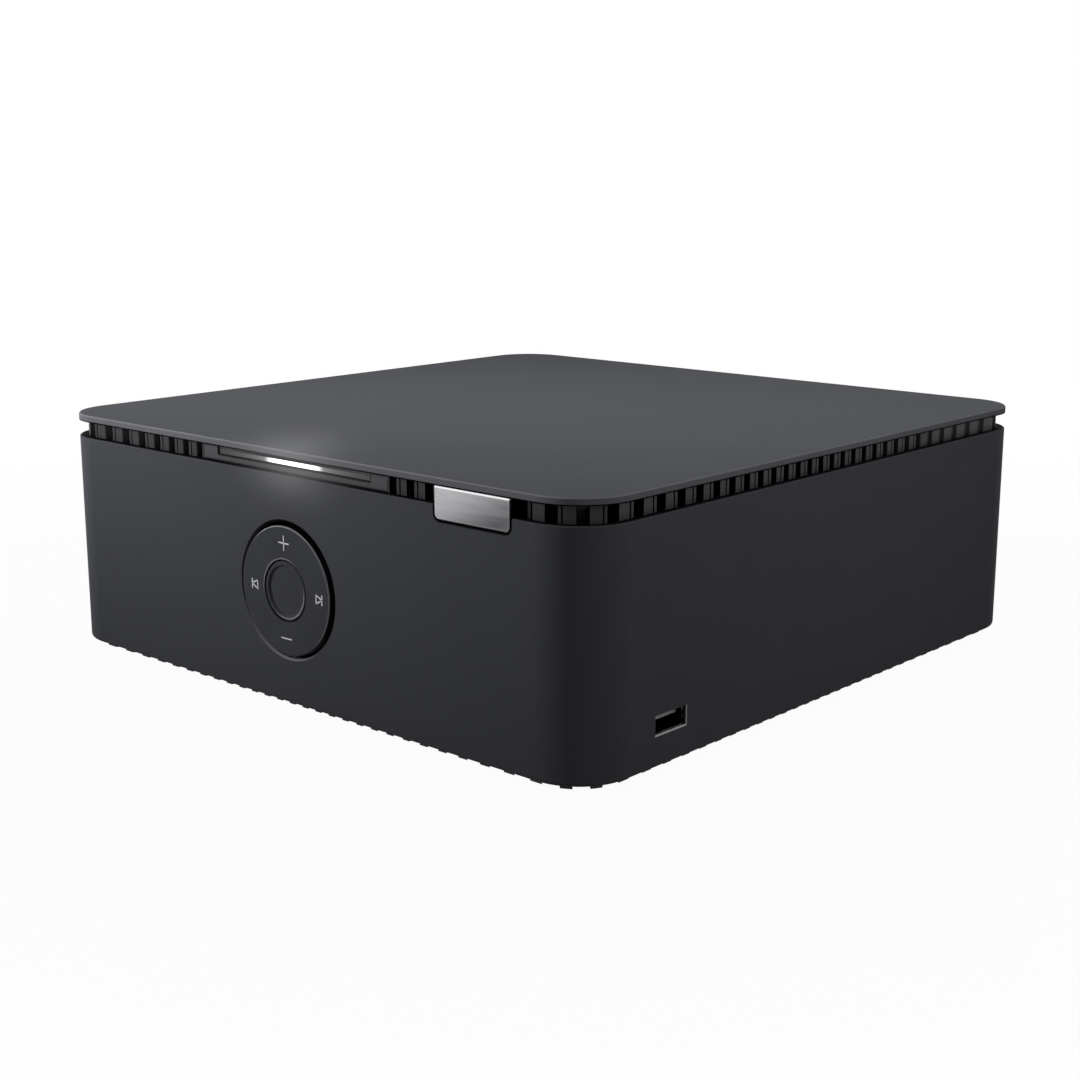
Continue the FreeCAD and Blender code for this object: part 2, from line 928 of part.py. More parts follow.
def enclosure_shell():
    """Sleeve of four walls with columns, dial hole, badge notch, port window and rear opening."""
    outer = slab(0, shell_bottom, shell_top)
    outer = outer.makeFillet(shell_bottom_round, edges_at_height(outer, shell_bottom))
    outer = outer.makeChamfer(shell_top_chamfer, edges_at_height(outer, shell_top))
    shell = outer.cut(slab(shell_wall, shell_bottom, shell_top))
    columns = []
    for x, y in corner_spots():
        columns.append(rod(column_radius, (x, y, base_top), (x, y, frame_bottom)))
        columns += column_webs(x, y)
    bosses = []
    for x, z in dial_screw_spots():
        bosses.append(rod(boss_radius, (x, wall_inside - shell_wall / 2, z), (x, well_floor_face, z)))
    shell = joined([shell] + columns + bosses)
    cuts = []
    for x, y in corner_spots():
        cuts.append(rod(pilot_radius, (x, y, base_top - 1), (x, y, base_top + pilot_depth)))
        cuts.append(rod(pilot_radius, (x, y, frame_bottom - pilot_depth), (x, y, frame_bottom + 1)))
    for x, z in dial_screw_spots():
        cuts.append(rod(pilot_radius, (x, wall_inside + boss_floor, z), (x, well_floor_face + 1, z)))
    cuts.append(rod(well_radius, (0, front_face - 1, dial_z), (0, wall_inside + 1, dial_z)))
    cone = Part.makeCone(well_radius + well_chamfer, well_radius, well_chamfer,
                         Vector(0, front_face, dial_z), Vector(0, 1, 0))
    cuts.append(cone)
    cuts.append(badge_notch())
    cuts.append(usb_cut())
    cuts.append(rounded_panel(-bay_half_width, bay_half_width, bay_low, bay_high, (bay_corner, bay_corner),
                              rear_face - shell_wall - 1, rear_face + 1))
    for cutter in cuts:
        shell = shell.cut(cutter)
    return shell


def column_webs(x, y):
    """Two ribs that tie a corner column to the walls beside it."""
    reach = column_inset - shell_wall / 2
    half = column_web / 2
    x_wall = x + math.copysign(reach, x)
    y_wall = y + math.copysign(reach, y)
    across = block((min(x, x_wall), y - half, base_top), (max(x, x_wall), y + half, frame_bottom))
    along = block((x - half, min(y, y_wall), base_top), (x + half, max(y, y_wall), frame_bottom))
    return [across, along]


def badge_notch():
    """Opening in the front wall's top edge that leaves a thin gap round the badge."""
    left = badge_left - badge_gap
    right = badge_right + badge_gap
    radius = badge_corner + badge_gap
    return rounded_panel(left, right, badge_low() - badge_gap, shell_top + 1, (radius, 0.0),
                         front_face - 1, wall_inside + 1)


def usb_z():
    """Height of the USB socket's centre."""
    return shell_bottom + usb_height_in_shell


def usb_cut():
    """Port window in the right wall, with the wall thinned from inside round the socket."""
    width, height = usb_window
    z = usb_z()
    window = block((right_face - shell_wall - 1, usb_y - width / 2, z - height / 2),
                   (right_face + 1, usb_y + width / 2, z + height / 2))
    grow = 2 * (usb_metal + fit_gap) + usb_pocket_gap
    half_y = (usb_inner[0] + grow) / 2
    half_z = (usb_inner[1] + grow) / 2
    pocket = block((right_face - shell_wall - 1, usb_y - half_y, z - half_z),
                   (right_face - usb_lip_wall, usb_y + half_y, z + half_z))
    return window.fuse(pocket)


# Control dial


def dial_screw_spots():
    """Screw places of the dial housing, as x and z."""
    return [(sx * dial_screw_x, dial_z + sz * dial_screw_z) for sx in (-1, 1) for sz in (-1, 1)]


ring_face = front_face - ring_proud
ring_back = ring_face + ring_thickness
well_floor_face = wall_inside + well_depth
well_floor_back = well_floor_face + well_floor
gimbal_y = (ring_back + well_floor_face) / 2
control_board_face = well_floor_back + board_pad
dome_face = control_board_face - dome_height
ear_inner = carrier_outer_radius + ear_gap


def axial(radius, y_start, y_end, x=0.0, z=None):
    """Cylinder along Y at the dial's height."""
    height = dial_z if z is None else z
    return rod(radius, (x, y_start, height), (x, y_end, height))


def dial_housing():
    """Cup behind the front wall, with the button's sleeve, gimbal ears and screw flange."""
    flange = rounded_panel(-flange_half_width, flange_half_width, dial_z - flange_half_height,
                           dial_z + flange_half_height, (flange_corner, flange_corner),
                           well_floor_face, well_floor_back)
    wall = axial(well_radius + well_wall, wall_inside, well_floor_face)
    wall = wall.cut(axial(well_radius, wall_inside, well_floor_face))
    sleeve_front = front_face - button_proud + button_cap_thickness + button_travel + running_gap
    sleeve = axial(stem_radius + sleeve_wall, sleeve_front, well_floor_face)
    pads = []
    for x, z in dial_screw_spots():
        pads.append(axial(boss_radius, well_floor_back, control_board_face, x, z))
    ears = []
    for sign in (-1, 1):
        x_in = sign * ear_inner
        x_out = sign * (ear_inner + ear_thickness)
        low = (min(x_in, x_out), gimbal_y - ear_nose, dial_z - ear_width / 2)
        high = (max(x_in, x_out), well_floor_face, dial_z + ear_width / 2)
        ears.append(block(low, high))
    housing = joined([flange, wall, sleeve] + pads + ears)
    cuts = [axial(stem_radius + stem_clearance, sleeve_front - 1, well_floor_back + 1)]
    hole_radius = actuator_radius + actuator_hole_gap
    for x, z in actuator_spots():
        cuts.append(axial(hole_radius, well_floor_face - 1, well_floor_back + 1, x, z))
    for x, z in dial_screw_spots():
        cuts.append(axial(clear_radius, well_floor_face - 1, control_board_face + 1, x, z))
    reach = ear_inner + ear_thickness + 1
    bearing = rod(trunnion_radius + pin_clearance, (-reach, gimbal_y, dial_z), (reach, gimbal_y, dial_z))
    cuts.append(bearing.cut(axial(carrier_inner_radius, gimbal_y - ear_nose, gimbal_y + ear_nose)))
    for cutter in cuts:
        housing = housing.cut(cutter)
    return housing


def actuator_spots():
    """Places of the ring pad's four feet, as x and z."""
    reach = actuator_circle
    return [(reach, dial_z), (-reach, dial_z), (0.0, dial_z + reach), (0.0, dial_z - reach)]


def dial_carrier():
    """Gimbal ring: two pins sideways in the housing's ears, two pins upright in the pad's ears."""
    half = carrier_thickness / 2
    hoop = axial(carrier_outer_radius, gimbal_y - half, gimbal_y + half)
    hoop = hoop.cut(axial(carrier_inner_radius, gimbal_y - half, gimbal_y + half))
    inner = (carrier_inner_radius + carrier_outer_radius) / 2
    outer = carrier_outer_radius + trunnion_reach
    pins = []
    for sign in (-1, 1):
        z_in = dial_z + sign * inner
        z_out = dial_z + sign * outer
        pins.append(rod(trunnion_radius, (sign * inner, gimbal_y, dial_z), (sign * outer, gimbal_y, dial_z)))
        pins.append(rod(trunnion_radius, (0, gimbal_y, z_in), (0, gimbal_y, z_out)))
    return joined([hoop] + pins)


def dial_ring():
    """Ring pad with a rounded rim, two ears and four feet on its back."""
    pad = axial(ring_radius, ring_face, ring_back)
    front_edges = [edge for edge in pad.Edges if abs(edge.BoundBox.YMax - ring_face) < 1e-6]
    pad = pad.makeFillet(ring_edge_round, front_edges)
    parts = [pad]
    for sign in (-1, 1):
        z_in = dial_z + sign * ear_inner
        z_out = dial_z + sign * (ear_inner + ear_thickness)
        low = (-ear_width / 2, ring_back - root_overlap, min(z_in, z_out))
        high = (ear_width / 2, gimbal_y + ear_nose, max(z_in, z_out))
        parts.append(block(low, high))
    for x, z in actuator_spots():
        parts.append(axial(actuator_radius, ring_back - root_overlap, dome_face - actuator_gap, x, z))
    ring = joined(parts)
    ring = ring.cut(axial(button_hole_radius, ring_face - 1, ring_back + 1))
    reach = ear_inner + ear_thickness + 1
    holes = rod(trunnion_radius + pin_clearance, (0, gimbal_y, dial_z - reach), (0, gimbal_y, dial_z + reach))
    return ring.cut(holes)


def centre_button():
    """Dished round cap on a stem that slides in the housing's sleeve."""
    face = front_face - button_proud
    cap = axial(button_radius, face, face + button_cap_thickness)
    front_edges = [edge for edge in cap.Edges if abs(edge.BoundBox.YMax - face) < 1e-6]
    cap = cap.makeFillet(ring_edge_round, front_edges)
    dish = Part.makeCone(button_dish_radius, button_dish_radius - button_dish_depth, button_dish_depth,
                         Vector(0, face, dial_z), Vector(0, 1, 0))
    stem_end = dome_face - button_travel - running_gap
    stem = axial(stem_radius, face + button_cap_thickness - root_overlap, stem_end)
    return joined([cap.cut(dish), stem])


def control_board():
    """Board behind the dial housing, with a cable socket low on its back."""
    face = control_board_face
    back = face + board_thickness
    corners = (control_board_corner, control_board_corner)
    board = rounded_panel(-flange_half_width, flange_half_width, dial_z - flange_half_height,
                          dial_z + flange_half_height, corners, face, back)
    chip_x, chip_rise = control_chip_spot
    chip_width, chip_depth, chip_thickness = control_chip_size
    chip = centred_block(chip_x, dial_z + chip_rise, chip_width, chip_depth, back, back + chip_thickness)
    plug_width, plug_height, plug_length = control_plug_size
    plug = centred_block(*control_plug(), plug_width, plug_height, back, back + plug_length)
    board = joined([board, chip, plug])
    for x, z in dial_screw_spots():
        board = board.cut(axial(clear_radius, face - 1, back + 1, x, z))
    return board


def control_plug():
    """Place of the cable socket on the control board, as x and z."""
    return control_plug_x, dial_z - flange_half_height + control_plug_rise


def snap_domes():
    """Five snap domes on the control board, under the four feet and the centre stem."""
    domes = []
    for x, z in actuator_spots() + [(0.0, dial_z)]:
        disc = axial(dome_radius, dome_face, control_board_face, x, z)
        edges = [edge for edge in disc.Edges if abs(edge.BoundBox.YMax - dome_face) < 1e-6]
        domes.append(disc.makeFillet(dome_height * dome_round_share, edges))
    return group(domes)


def dial_screws():
    """Screws through the control board and the housing into the front wall's bosses."""
    seat = control_board_face + board_thickness
    return group([screw((x, seat, z), (0, -1, 0), dial_screw_length) for x, z in dial_screw_spots()])


# Base


def foot_spots():
    """Centres of the four feet."""
    return [(sx * (body_width / 2 - foot_inset), sy * (body_depth / 2 - foot_inset))
            for sx in (-1, 1) for sy in (-1, 1)]


def main_board_spots():
    """Standoffs of the main board."""
    xs = (main_board_left + standoff_inset, main_board_right - standoff_inset)
    ys = (main_board_front + standoff_inset, main_board_back - phono_block_depth - 2 * standoff_inset)
    return [(x, y) for x in xs for y in ys]


def power_board_spots():
    """Standoffs of the power board."""
    xs = (power_board_left + standoff_inset, power_board_right - standoff_inset)
    ys = (power_board_front + standoff_inset, power_board_back - standoff_inset)
    return [(x, y) for x in xs for y in ys]


usb_board_low = shell_bottom + usb_height_in_shell - usb_inner[1] / 2 - usb_metal - board_thickness
usb_mouth = right_face - usb_lip_wall - fit_gap


def usb_board_spots():
    """Standoffs of the USB board."""
    x = usb_mouth - usb_board_size[0] + usb_spot_inset
    return [(x, usb_y - usb_spot_half_pitch), (x, usb_y + usb_spot_half_pitch)]


def bay_screw_spots():
    """Screws from below into the connector bay's sole."""
    y = (panel_face + rear_face - shell_wall) / 2
    return [(-bay_half_width / 2, y), (0.0, y), (bay_half_width / 2, y)]


def intake_slots():
    """Cutters for the columns of slots in the base, between the feet."""
    reach = body_width / 2 - foot_inset - foot_radius
    half = (intake_slot_length - intake_slot_width) / 2
    radius = intake_slot_width / 2
    slots = []
    for index in range(intake_rows):
        y = (index - (intake_rows - 1) / 2) * intake_slot_pitch + intake_centre_y
        for x in spread(-reach, reach, [intake_slot_length] * intake_columns):
            slots.append(block((x - half, y - radius, shell_bottom), (x + half, y + radius, base_top)))
            for end in (x - half, x + half):
                slots.append(rod(radius, (end, y, shell_bottom), (end, y, base_top)))
    return slots


def base_plate():
    """Plate with a ring of teeth below, intake slots, standoffs and bosses."""
    plate = slab(frame_inset, shell_bottom, base_top)
    tooth_low = shell_bottom - tooth_drop
    teeth = band(frame_inset, frame_inset + tooth_depth, tooth_low, shell_bottom)
    gaps = [wedge(angle, tooth_gap_angle, tooth_low, shell_bottom) for angle in slot_angles()]
    teeth = teeth.cut(group(gaps))
    bay_post_top = bay_low + fit_gap
    posts = []
    for x, y in main_board_spots() + power_board_spots():
        posts.append(rod(boss_radius, (x, y, base_top), (x, y, board_underside)))
    for x, y in usb_board_spots():
        posts.append(rod(boss_radius, (x, y, base_top), (x, y, usb_board_low)))
    for x, y in bay_screw_spots():
        posts.append(rod(bay_post_radius, (x, y, base_top), (x, y, bay_post_top)))
    plate = plate.cut(joined(intake_slots()))
    base = joined([plate] + teeth.Solids + posts)
    cuts = []
    for x, y in main_board_spots() + power_board_spots():
        cuts.append(rod(pilot_radius, (x, y, base_top + boss_floor), (x, y, board_underside)))
    for x, y in usb_board_spots():
        cuts.append(rod(pilot_radius, (x, y, base_top - usb_pilot_sink), (x, y, usb_board_low)))
    for x, y in corner_spots() + bay_screw_spots():
        cuts.append(rod(clear_radius, (x, y, shell_bottom), (x, y, bay_post_top)))
    for x, y in foot_spots():
        cuts.append(rod(foot_stem_radius, (x, y, shell_bottom), (x, y, base_top)))
    return base.cut(group(cuts))


def rubber_feet():
    """Four feet with stems pressed into the base plate."""
    feet = []
    for x, y in foot_spots():
        pad = rod(foot_radius, (x, y, 0), (x, y, shell_bottom))
        pad = pad.makeFillet(foot_edge_round, edges_at_height(pad, 0.0))
        stem = rod(foot_stem_radius, (x, y, shell_bottom), (x, y, shell_bottom + foot_stem_length))
        feet.append(joined([pad, stem]))
    return group(feet)


def base_screws():
    """Screws from below into the shell's columns and the connector bay."""
    corner = [screw((x, y, shell_bottom), (0, 0, 1), base_screw_length) for x, y in corner_spots()]
    length = bay_low + fit_gap - shell_bottom + bay_sole - bay_screw_stop
    rear = [screw((x, y, shell_bottom), (0, 0, 1), length) for x, y in bay_screw_spots()]
    return group(corner + rear)


# Connector bay and its sockets


def terminal_spots():
    """Centres of the binding posts, as x and z."""
    return [(x, z) for z in terminal_rows for x in terminal_columns]


def phono_spots():
    """Centres of the phono sockets, as x and z."""
    return [(x, z) for z in phono_rows for x in phono_columns]


def socket_z(height):
    """Centre height of a socket that stands on the main board."""
    return board_top + height / 2


def connector_bay():
    """Pan set into the rear opening; its floor is the rear panel with all cut-outs."""
    gap = fit_gap
    outer_corner = bay_corner - gap
    inner_corner = outer_corner - bay_wall
    outer = rounded_panel(-bay_half_width + gap, bay_half_width - gap, bay_low + gap, bay_high - gap,
                          (outer_corner, outer_corner), panel_back, rear_face - bay_rim_setback)
    hollow = rounded_panel(-bay_half_room, bay_half_room, bay_low + gap + bay_sole, bay_high - gap - bay_wall,
                           (inner_corner, inner_corner), panel_face, rear_face)
    bay = outer.cut(hollow)
    through = (panel_back - 1, panel_face + 1)
    cuts = [centred_block(inlet_x, inlet_z, inlet_body[0], inlet_body[1], *through),
            centred_block(inlet_x, switch_z, switch_body[0], switch_body[1], *through)]
    for x, size in ((optical_x, optical_size), (hdmi_x, hdmi_size), (lan_x, lan_size)):
        width = size[0] + 2 * socket_cut_gap
        height = size[1] + 2 * socket_cut_gap
        cuts.append(centred_block(x, socket_z(size[1]), width, height, *through))
    for x, z in terminal_spots():
        cuts.append(axial(bushing_neck_radius, *through, x, z))
    for x, z in phono_spots():
        cuts.append(axial(phono_sleeve_radius + fit_gap, *through, x, z))
    cuts.append(axial(pairing_radius + stem_clearance, *through, pairing_x, pairing_z()))
    for x, y in bay_screw_spots():
        cuts.append(rod(pilot_radius, (x, y, bay_low), (x, y, bay_low + gap + bay_sole - bay_pilot_floor)))
    return bay.cut(group(cuts))


def seated_body(x, z, flange_size, body_size):
    """Flange on the rear panel with a body that fills the panel's cut-out."""
    width, height, thickness = flange_size
    flange = centred_block(x, z, width, height, panel_face, panel_face + thickness)
    width, height, depth = body_size
    body = centred_block(x, z, width - body_play, height - body_play, panel_face - depth, panel_face)
    return joined([flange, body])


def mains_inlet():
    """Figure-eight inlet: flange, body and cavity."""
    mouth = panel_face + inlet_flange[2]
    floor = mouth - inlet_cavity_depth
    half_length = inlet_cavity_length / 2
    half_height = inlet_cavity_height / 2
    corner = half_height - inlet_cavity_flat
    cavity = rounded_panel(inlet_x - half_length, inlet_x + half_length, inlet_z - half_height,
                           inlet_z + half_height, (corner, corner), floor, mouth + 1)
    inlet = seated_body(inlet_x, inlet_z, inlet_flange, inlet_body).cut(cavity)
    for x in inlet_pin_xs():
        inlet = inlet.cut(axial(inlet_pin_radius, panel_face - inlet_body[2] - 1, floor + 1, x, inlet_z))
    return inlet


def inlet_pin_xs():
    """Places of the two contact pins."""
    return [inlet_x - inlet_pin_pitch / 2, inlet_x + inlet_pin_pitch / 2]


def mains_pins():
    """Contact pins with tails for the wires."""
    start = panel_face - inlet_body[2] - inlet_pin_tail
    end = panel_face + inlet_flange[2] - inlet_pin_recess
    return group([axial(inlet_pin_radius, start, end, x, inlet_z) for x in inlet_pin_xs()])


rocker_pivot_y = panel_face - rocker_pivot_depth


def switch_pin(radius, reach):
    """Bar along the rocker's pivot, reaching as far to each side."""
    left = (inlet_x - reach, rocker_pivot_y, switch_z)
    return rod(radius, left, (inlet_x + reach, rocker_pivot_y, switch_z))


def switch_housing():
    """Snap-in frame of the power switch with bearings for the rocker."""
    body_back = panel_face - switch_body[2]
    inner_width = switch_body[0] - body_play - 2 * switch_wall
    inner_height = switch_body[1] - body_play - 2 * switch_wall
    cavity = centred_block(inlet_x, switch_z, inner_width, inner_height, body_back + switch_floor,
                           panel_face + switch_flange[2] + 1)
    housing = seated_body(inlet_x, switch_z, switch_flange, switch_body).cut(cavity)
    tabs = []
    tab_width, tab_thickness = switch_tab_size
    for z in (switch_z - switch_tab_pitch, switch_z, switch_z + switch_tab_pitch):
        tabs.append(centred_block(inlet_x, z, tab_width, tab_thickness, body_back - switch_tab, body_back))
    housing = housing.cut(switch_pin(rocker_pin_radius + pin_clearance, switch_body[0] / 2))
    return joined([housing] + tabs)


def power_rocker():
    """Rocker that rests with its lower end pressed in; it turns on two side pins."""
    half = rocker_length / 2
    back = rocker_rise - rocker_depth
    bulge = rocker_rise - half * math.tan(math.radians(rocker_tilt))
    corners = [(half, back), (half, rocker_rise), (0.0, bulge), (-half, rocker_rise), (-half, back)]
    left = inlet_x - rocker_width / 2
    points = [Vector(left, rocker_pivot_y + y, switch_z + z) for z, y in corners]
    profile = Part.Face(Part.makePolygon(points + points[:1]))
    rocker = profile.extrude(Vector(rocker_width, 0, 0))
    rocker = joined([rocker, switch_pin(rocker_pin_radius, switch_body[0] / 2 - running_gap)])
    rocker.rotate(Vector(inlet_x, rocker_pivot_y, switch_z), Vector(1, 0, 0), -rocker_tilt)
    return rocker


bushing_face = panel_face + bushing_flange
stud_end = bushing_face + stud_reach
washer_back = bushing_face + running_gap
cap_back = washer_back + washer_thickness + running_gap
cap_front = stud_end + cap_overhang


def terminal_bushings():
    """Insulating bushings in the panel."""
    bushings = []
    for x, z in terminal_spots():
        flange = axial(bushing_radius, panel_face, bushing_face, x, z)
        edges = [edge for edge in flange.Edges if abs(edge.BoundBox.YMin - bushing_face) < 1e-6]
        flange = flange.makeChamfer(bushing_chamfer, edges)
        neck = axial(bushing_neck_radius - pin_clearance, panel_back, panel_face, x, z)
        bushing = joined([flange, neck])
        bushings.append(bushing.cut(axial(stud_radius, panel_back - 1, bushing_face + 1, x, z)))
    return group(bushings)


def terminal_studs():
    """Hollow studs: socket bore in front, cross hole for bare wire, tail behind."""
    studs = []
    for x, z in terminal_spots():
        stud = axial(stud_radius, panel_back - stud_tail, stud_end, x, z)
        bore = axial(stud_bore_radius, stud_end - stud_bore_depth, stud_end + 1, x, z)
        y = bushing_face + wire_hole_radius + wire_hole_margin
        hole = rod(wire_hole_radius, (x, y, z - stud_radius - 1), (x, y, z - stud_bore_radius / 2))
        studs.append(stud.cut(bore).cut(hole))
    return group(studs)


def hexagon(x, z, flats, y_start, y_end):
    """Hexagonal prism along Y."""
    radius = flats / math.sqrt(3.0)
    points = []
    for index in range(6):
        angle = math.radians(60.0 * index)
        points.append(Vector(x + radius * math.cos(angle), y_start, z + radius * math.sin(angle)))
    return Part.Face(Part.makePolygon(points + points[:1])).extrude(Vector(0, y_end - y_start, 0))


def terminal_nuts():
    """Nuts that clamp the bushings from inside."""
    nuts = []
    for x, z in terminal_spots():
        nut = hexagon(x, z, nut_flats, panel_back - nut_thickness, panel_back)
        nuts.append(nut.cut(axial(stud_radius, panel_back - nut_thickness - 1, panel_back + 1, x, z)))
    return group(nuts)


def terminal_washer(x, z):
    """Thrust washer that moves out and in with its cap."""
    washer_front = washer_back + washer_thickness
    washer = axial(washer_radius, washer_back, washer_front, x, z)
    return washer.cut(axial(stud_radius + thread_clearance, washer_back - 1, washer_front + 1, x, z))


def terminal_cap(x, z):
    """Knurled cap that screws on the stud, open at its end for a banana plug."""
    cap = axial(cap_radius, cap_back, cap_front, x, z)
    end_edges = [edge for edge in cap.Edges if abs(edge.BoundBox.YMax - edge.BoundBox.YMin) < 1e-6]
    cap = cap.makeChamfer(cap_chamfer, end_edges)
    cap = cap.cut(axial(stud_radius + thread_clearance, cap_back - 1, cap_front + 1, x, z))
    reach = cap_radius + cap_flute_radius - cap_flute_bite
    flutes = []
    for index in range(cap_flutes):
        angle = math.radians(360.0 * index / cap_flutes)
        flutes.append(axial(cap_flute_radius, cap_back + cap_collar, cap_front + 1,
                            x + reach * math.cos(angle), z + reach * math.sin(angle)))
    return cap.cut(group(flutes))


phono_block_face = panel_back - phono_block_gap
phono_start = phono_block_face - phono_seat
phono_inner_radius = phono_sleeve_radius - phono_sleeve_wall


def phono_block():
    """Moulded block of the phono sockets on the main board."""
    half = phono_pitch / 2 + phono_block_side
    low = (phono_x - half, phono_block_face - phono_block_depth, board_top)
    body = block(low, (phono_x + half, phono_block_face, phono_rows[1] + phono_block_top))
    for x, z in phono_spots():
        body = body.cut(axial(phono_sleeve_radius, phono_start, phono_block_face + 1, x, z))
    return body


def phono_sleeves():
    """Outer contacts of the phono sockets."""
    end = panel_face + phono_reach
    sleeves = []
    for x, z in phono_spots():
        sleeve = axial(phono_sleeve_radius, phono_start, end, x, z)
        sleeves.append(sleeve.cut(axial(phono_inner_radius, phono_start - 1, end + 1, x, z)))
    return group(sleeves)


def phono_inserts():
    """Insulators with the centre contact's bore."""
    end = panel_face + phono_reach - phono_insert_setback
    inserts = []
    for x, z in phono_spots():
        insert = axial(phono_inner_radius, phono_start, end, x, z)
        inserts.append(insert.cut(axial(phono_contact_radius, end - phono_contact_depth, end + 1, x, z)))
    return group(inserts)


def optical_z():
    """Height of the optical socket's centre."""
    return socket_z(optical_size[1])


optical_mouth = panel_face + optical_rim
optical_floor = optical_mouth - optical_cavity_depth
shutter_pin_y = optical_mouth - shutter_setback


def shutter_pin_z():
    """Height of the shutter's hinge."""
    return optical_z() + optical_opening / 2 - shutter_pin_drop


def shutter_pin(radius, reach):
    """Bar along the shutter's hinge, reaching past the socket's opening to each side."""
    half = optical_opening / 2 + reach
    z = shutter_pin_z()
    return rod(radius, (optical_x - half, shutter_pin_y, z), (optical_x + half, shutter_pin_y, z))


def optical_socket():
    """Square optical socket with the fibre nose at the back of its cavity."""
    x = optical_x
    z = optical_z()
    back = panel_face - optical_size[2]
    body = centred_block(x, z, optical_size[0], optical_size[1], back, optical_mouth)
    body = body.cut(centred_block(x, z, optical_opening, optical_opening, optical_floor, optical_mouth + 1))
    nose = axial(optical_nose_radius, back, optical_floor + optical_nose_length, x, z)
    hole = shutter_pin(shutter_pin_radius + pin_clearance, shutter_pin_reach + fit_gap)
    return joined([body, nose]).cut(hole)


def optical_shutter():
    """Sprung shutter that swings inwards about its upper edge."""
    half = optical_opening / 2 - shutter_side_gap
    low = (optical_x - half, shutter_pin_y - shutter_thickness / 2, optical_z() - half)
    high = (optical_x + half, shutter_pin_y + shutter_thickness / 2, shutter_pin_z())
    return joined([block(low, high), shutter_pin(shutter_pin_radius, shutter_pin_reach)])


hdmi_mouth = panel_face + hdmi_proud
hdmi_back = hdmi_mouth - hdmi_size[2]


def hdmi_prism(shrink, y_start, y_end):
    """Prism with the bevelled lower corners of the HDMI socket, drawn in by shrink on every side."""
    z = socket_z(hdmi_size[1])
    half = hdmi_size[0] / 2 - shrink
    low = z - hdmi_size[1] / 2 + shrink
    high = z + hdmi_size[1] / 2 - shrink
    bevel = (high - low) * hdmi_bevel_share
    corners = [(-half, high), (half, high), (half, low + bevel), (half - bevel, low),
               (-half + bevel, low), (-half, low + bevel)]
    points = [Vector(hdmi_x + dx, y_start, level) for dx, level in corners]
    return Part.Face(Part.makePolygon(points + points[:1])).extrude(Vector(0, y_end - y_start, 0))


def hdmi_shell():
    """Folded metal shell of the HDMI socket."""
    outer = hdmi_prism(0.0, hdmi_back, hdmi_mouth)
    return outer.cut(hdmi_prism(hdmi_wall, hdmi_back + hdmi_wall, hdmi_mouth + 1))


def hdmi_tongue_piece():
    """Insulator and contact tongue inside the HDMI shell."""
    back = hdmi_back + hdmi_wall
    plug_face = back + hdmi_plug_depth
    width, height, length = hdmi_tongue
    z = socket_z(hdmi_size[1]) + hdmi_tongue_rise
    tongue = centred_block(hdmi_x, z, width, height, plug_face, plug_face + length)
    return joined([hdmi_prism(hdmi_wall, back, plug_face), tongue])


def lan_socket():
    """Network socket with its latch notch."""
    z = socket_z(lan_size[1])
    mouth = panel_face + lan_proud
    floor = mouth - lan_cavity_depth
    body = centred_block(lan_x, z, lan_size[0], lan_size[1], mouth - lan_size[2], mouth)
    width, height = lan_opening
    centre = z + lan_opening_rise
    body = body.cut(centred_block(lan_x, centre, width, height, floor, mouth + 1))
    latch_width, latch_height = lan_latch
    latch_z = centre - (height + latch_height) / 2
    notch_height = latch_height + fit_gap
    notch_start = floor + lan_latch_start
    body = body.cut(centred_block(lan_x, latch_z, latch_width, notch_height, notch_start, mouth + 1))
    contact_width, contact_height = lan_contact_size
    top = centre + height / 2
    contacts = []
    for index in range(lan_contacts):
        x = lan_x + (index - (lan_contacts - 1) / 2) * lan_contact_pitch
        low = (x - contact_width / 2, floor, top - contact_height)
        contacts.append(block(low, (x + contact_width / 2, mouth - lan_contact_setback, top)))
    return joined([body] + contacts)


def pairing_z():
    """Height of the pairing button."""
    return board_top + pairing_height_above_board


pairing_back = panel_back - pairing_tail


def pairing_button():
    """Small round push button in the panel."""
    flange_face = panel_back - running_gap
    flange = axial(pairing_radius + pairing_flange, flange_face - pairing_flange_thickness, flange_face,
                   pairing_x, pairing_z())
    stem = axial(pairing_radius, pairing_back, panel_face + pairing_proud, pairing_x, pairing_z())
    return joined([flange, stem])


# USB socket


def usb_shell():
    """Metal shell of the USB socket."""
    z = usb_z()
    width, height = usb_inner
    outer = block((usb_mouth - usb_depth, usb_y - width / 2 - usb_metal, z - height / 2 - usb_metal),
                  (usb_mouth, usb_y + width / 2 + usb_metal, z + height / 2 + usb_metal))
    inner = block((usb_mouth - usb_depth + usb_metal, usb_y - width / 2, z - height / 2),
                  (usb_mouth + 1, usb_y + width / 2, z + height / 2))
    return outer.cut(inner)


def usb_tongue():
    """Insulator with the contact tongue in the upper half of the shell."""
    back = usb_mouth - usb_depth + usb_metal
    plug_face = back + usb_plug_depth
    half = usb_inner[0] / 2
    top = usb_z() + usb_inner[1] / 2
    plug = block((back, usb_y - half, usb_z() - usb_inner[1] / 2), (plug_face, usb_y + half, top))
    width, height = usb_tongue_size
    under = top - usb_tongue_drop - height
    tip = usb_mouth - usb_tongue_setback
    tongue = block((plug_face, usb_y - width / 2, under), (tip, usb_y + width / 2, under + height))
    contact_width, contact_height = usb_contact_size
    contacts = []
    for index in range(usb_contacts):
        y = usb_y + (index - (usb_contacts - 1) / 2) * usb_contact_pitch
        low = (plug_face, y - contact_width / 2, under - contact_height)
        contacts.append(block(low, (tip - usb_contact_setback, y + contact_width / 2, under)))
    return joined([plug, tongue] + contacts)


def usb_board():
    """Small board under the USB socket."""
    length, width = usb_board_size
    top = usb_board_low + board_thickness
    board = block((usb_mouth - length, usb_y - width / 2, usb_board_low),
                  (usb_mouth - usb_board_setback, usb_y + width / 2, top))
    for x, y in usb_board_spots():
        board = board.cut(rod(clear_radius, (x, y, usb_board_low), (x, y, top)))
    return board


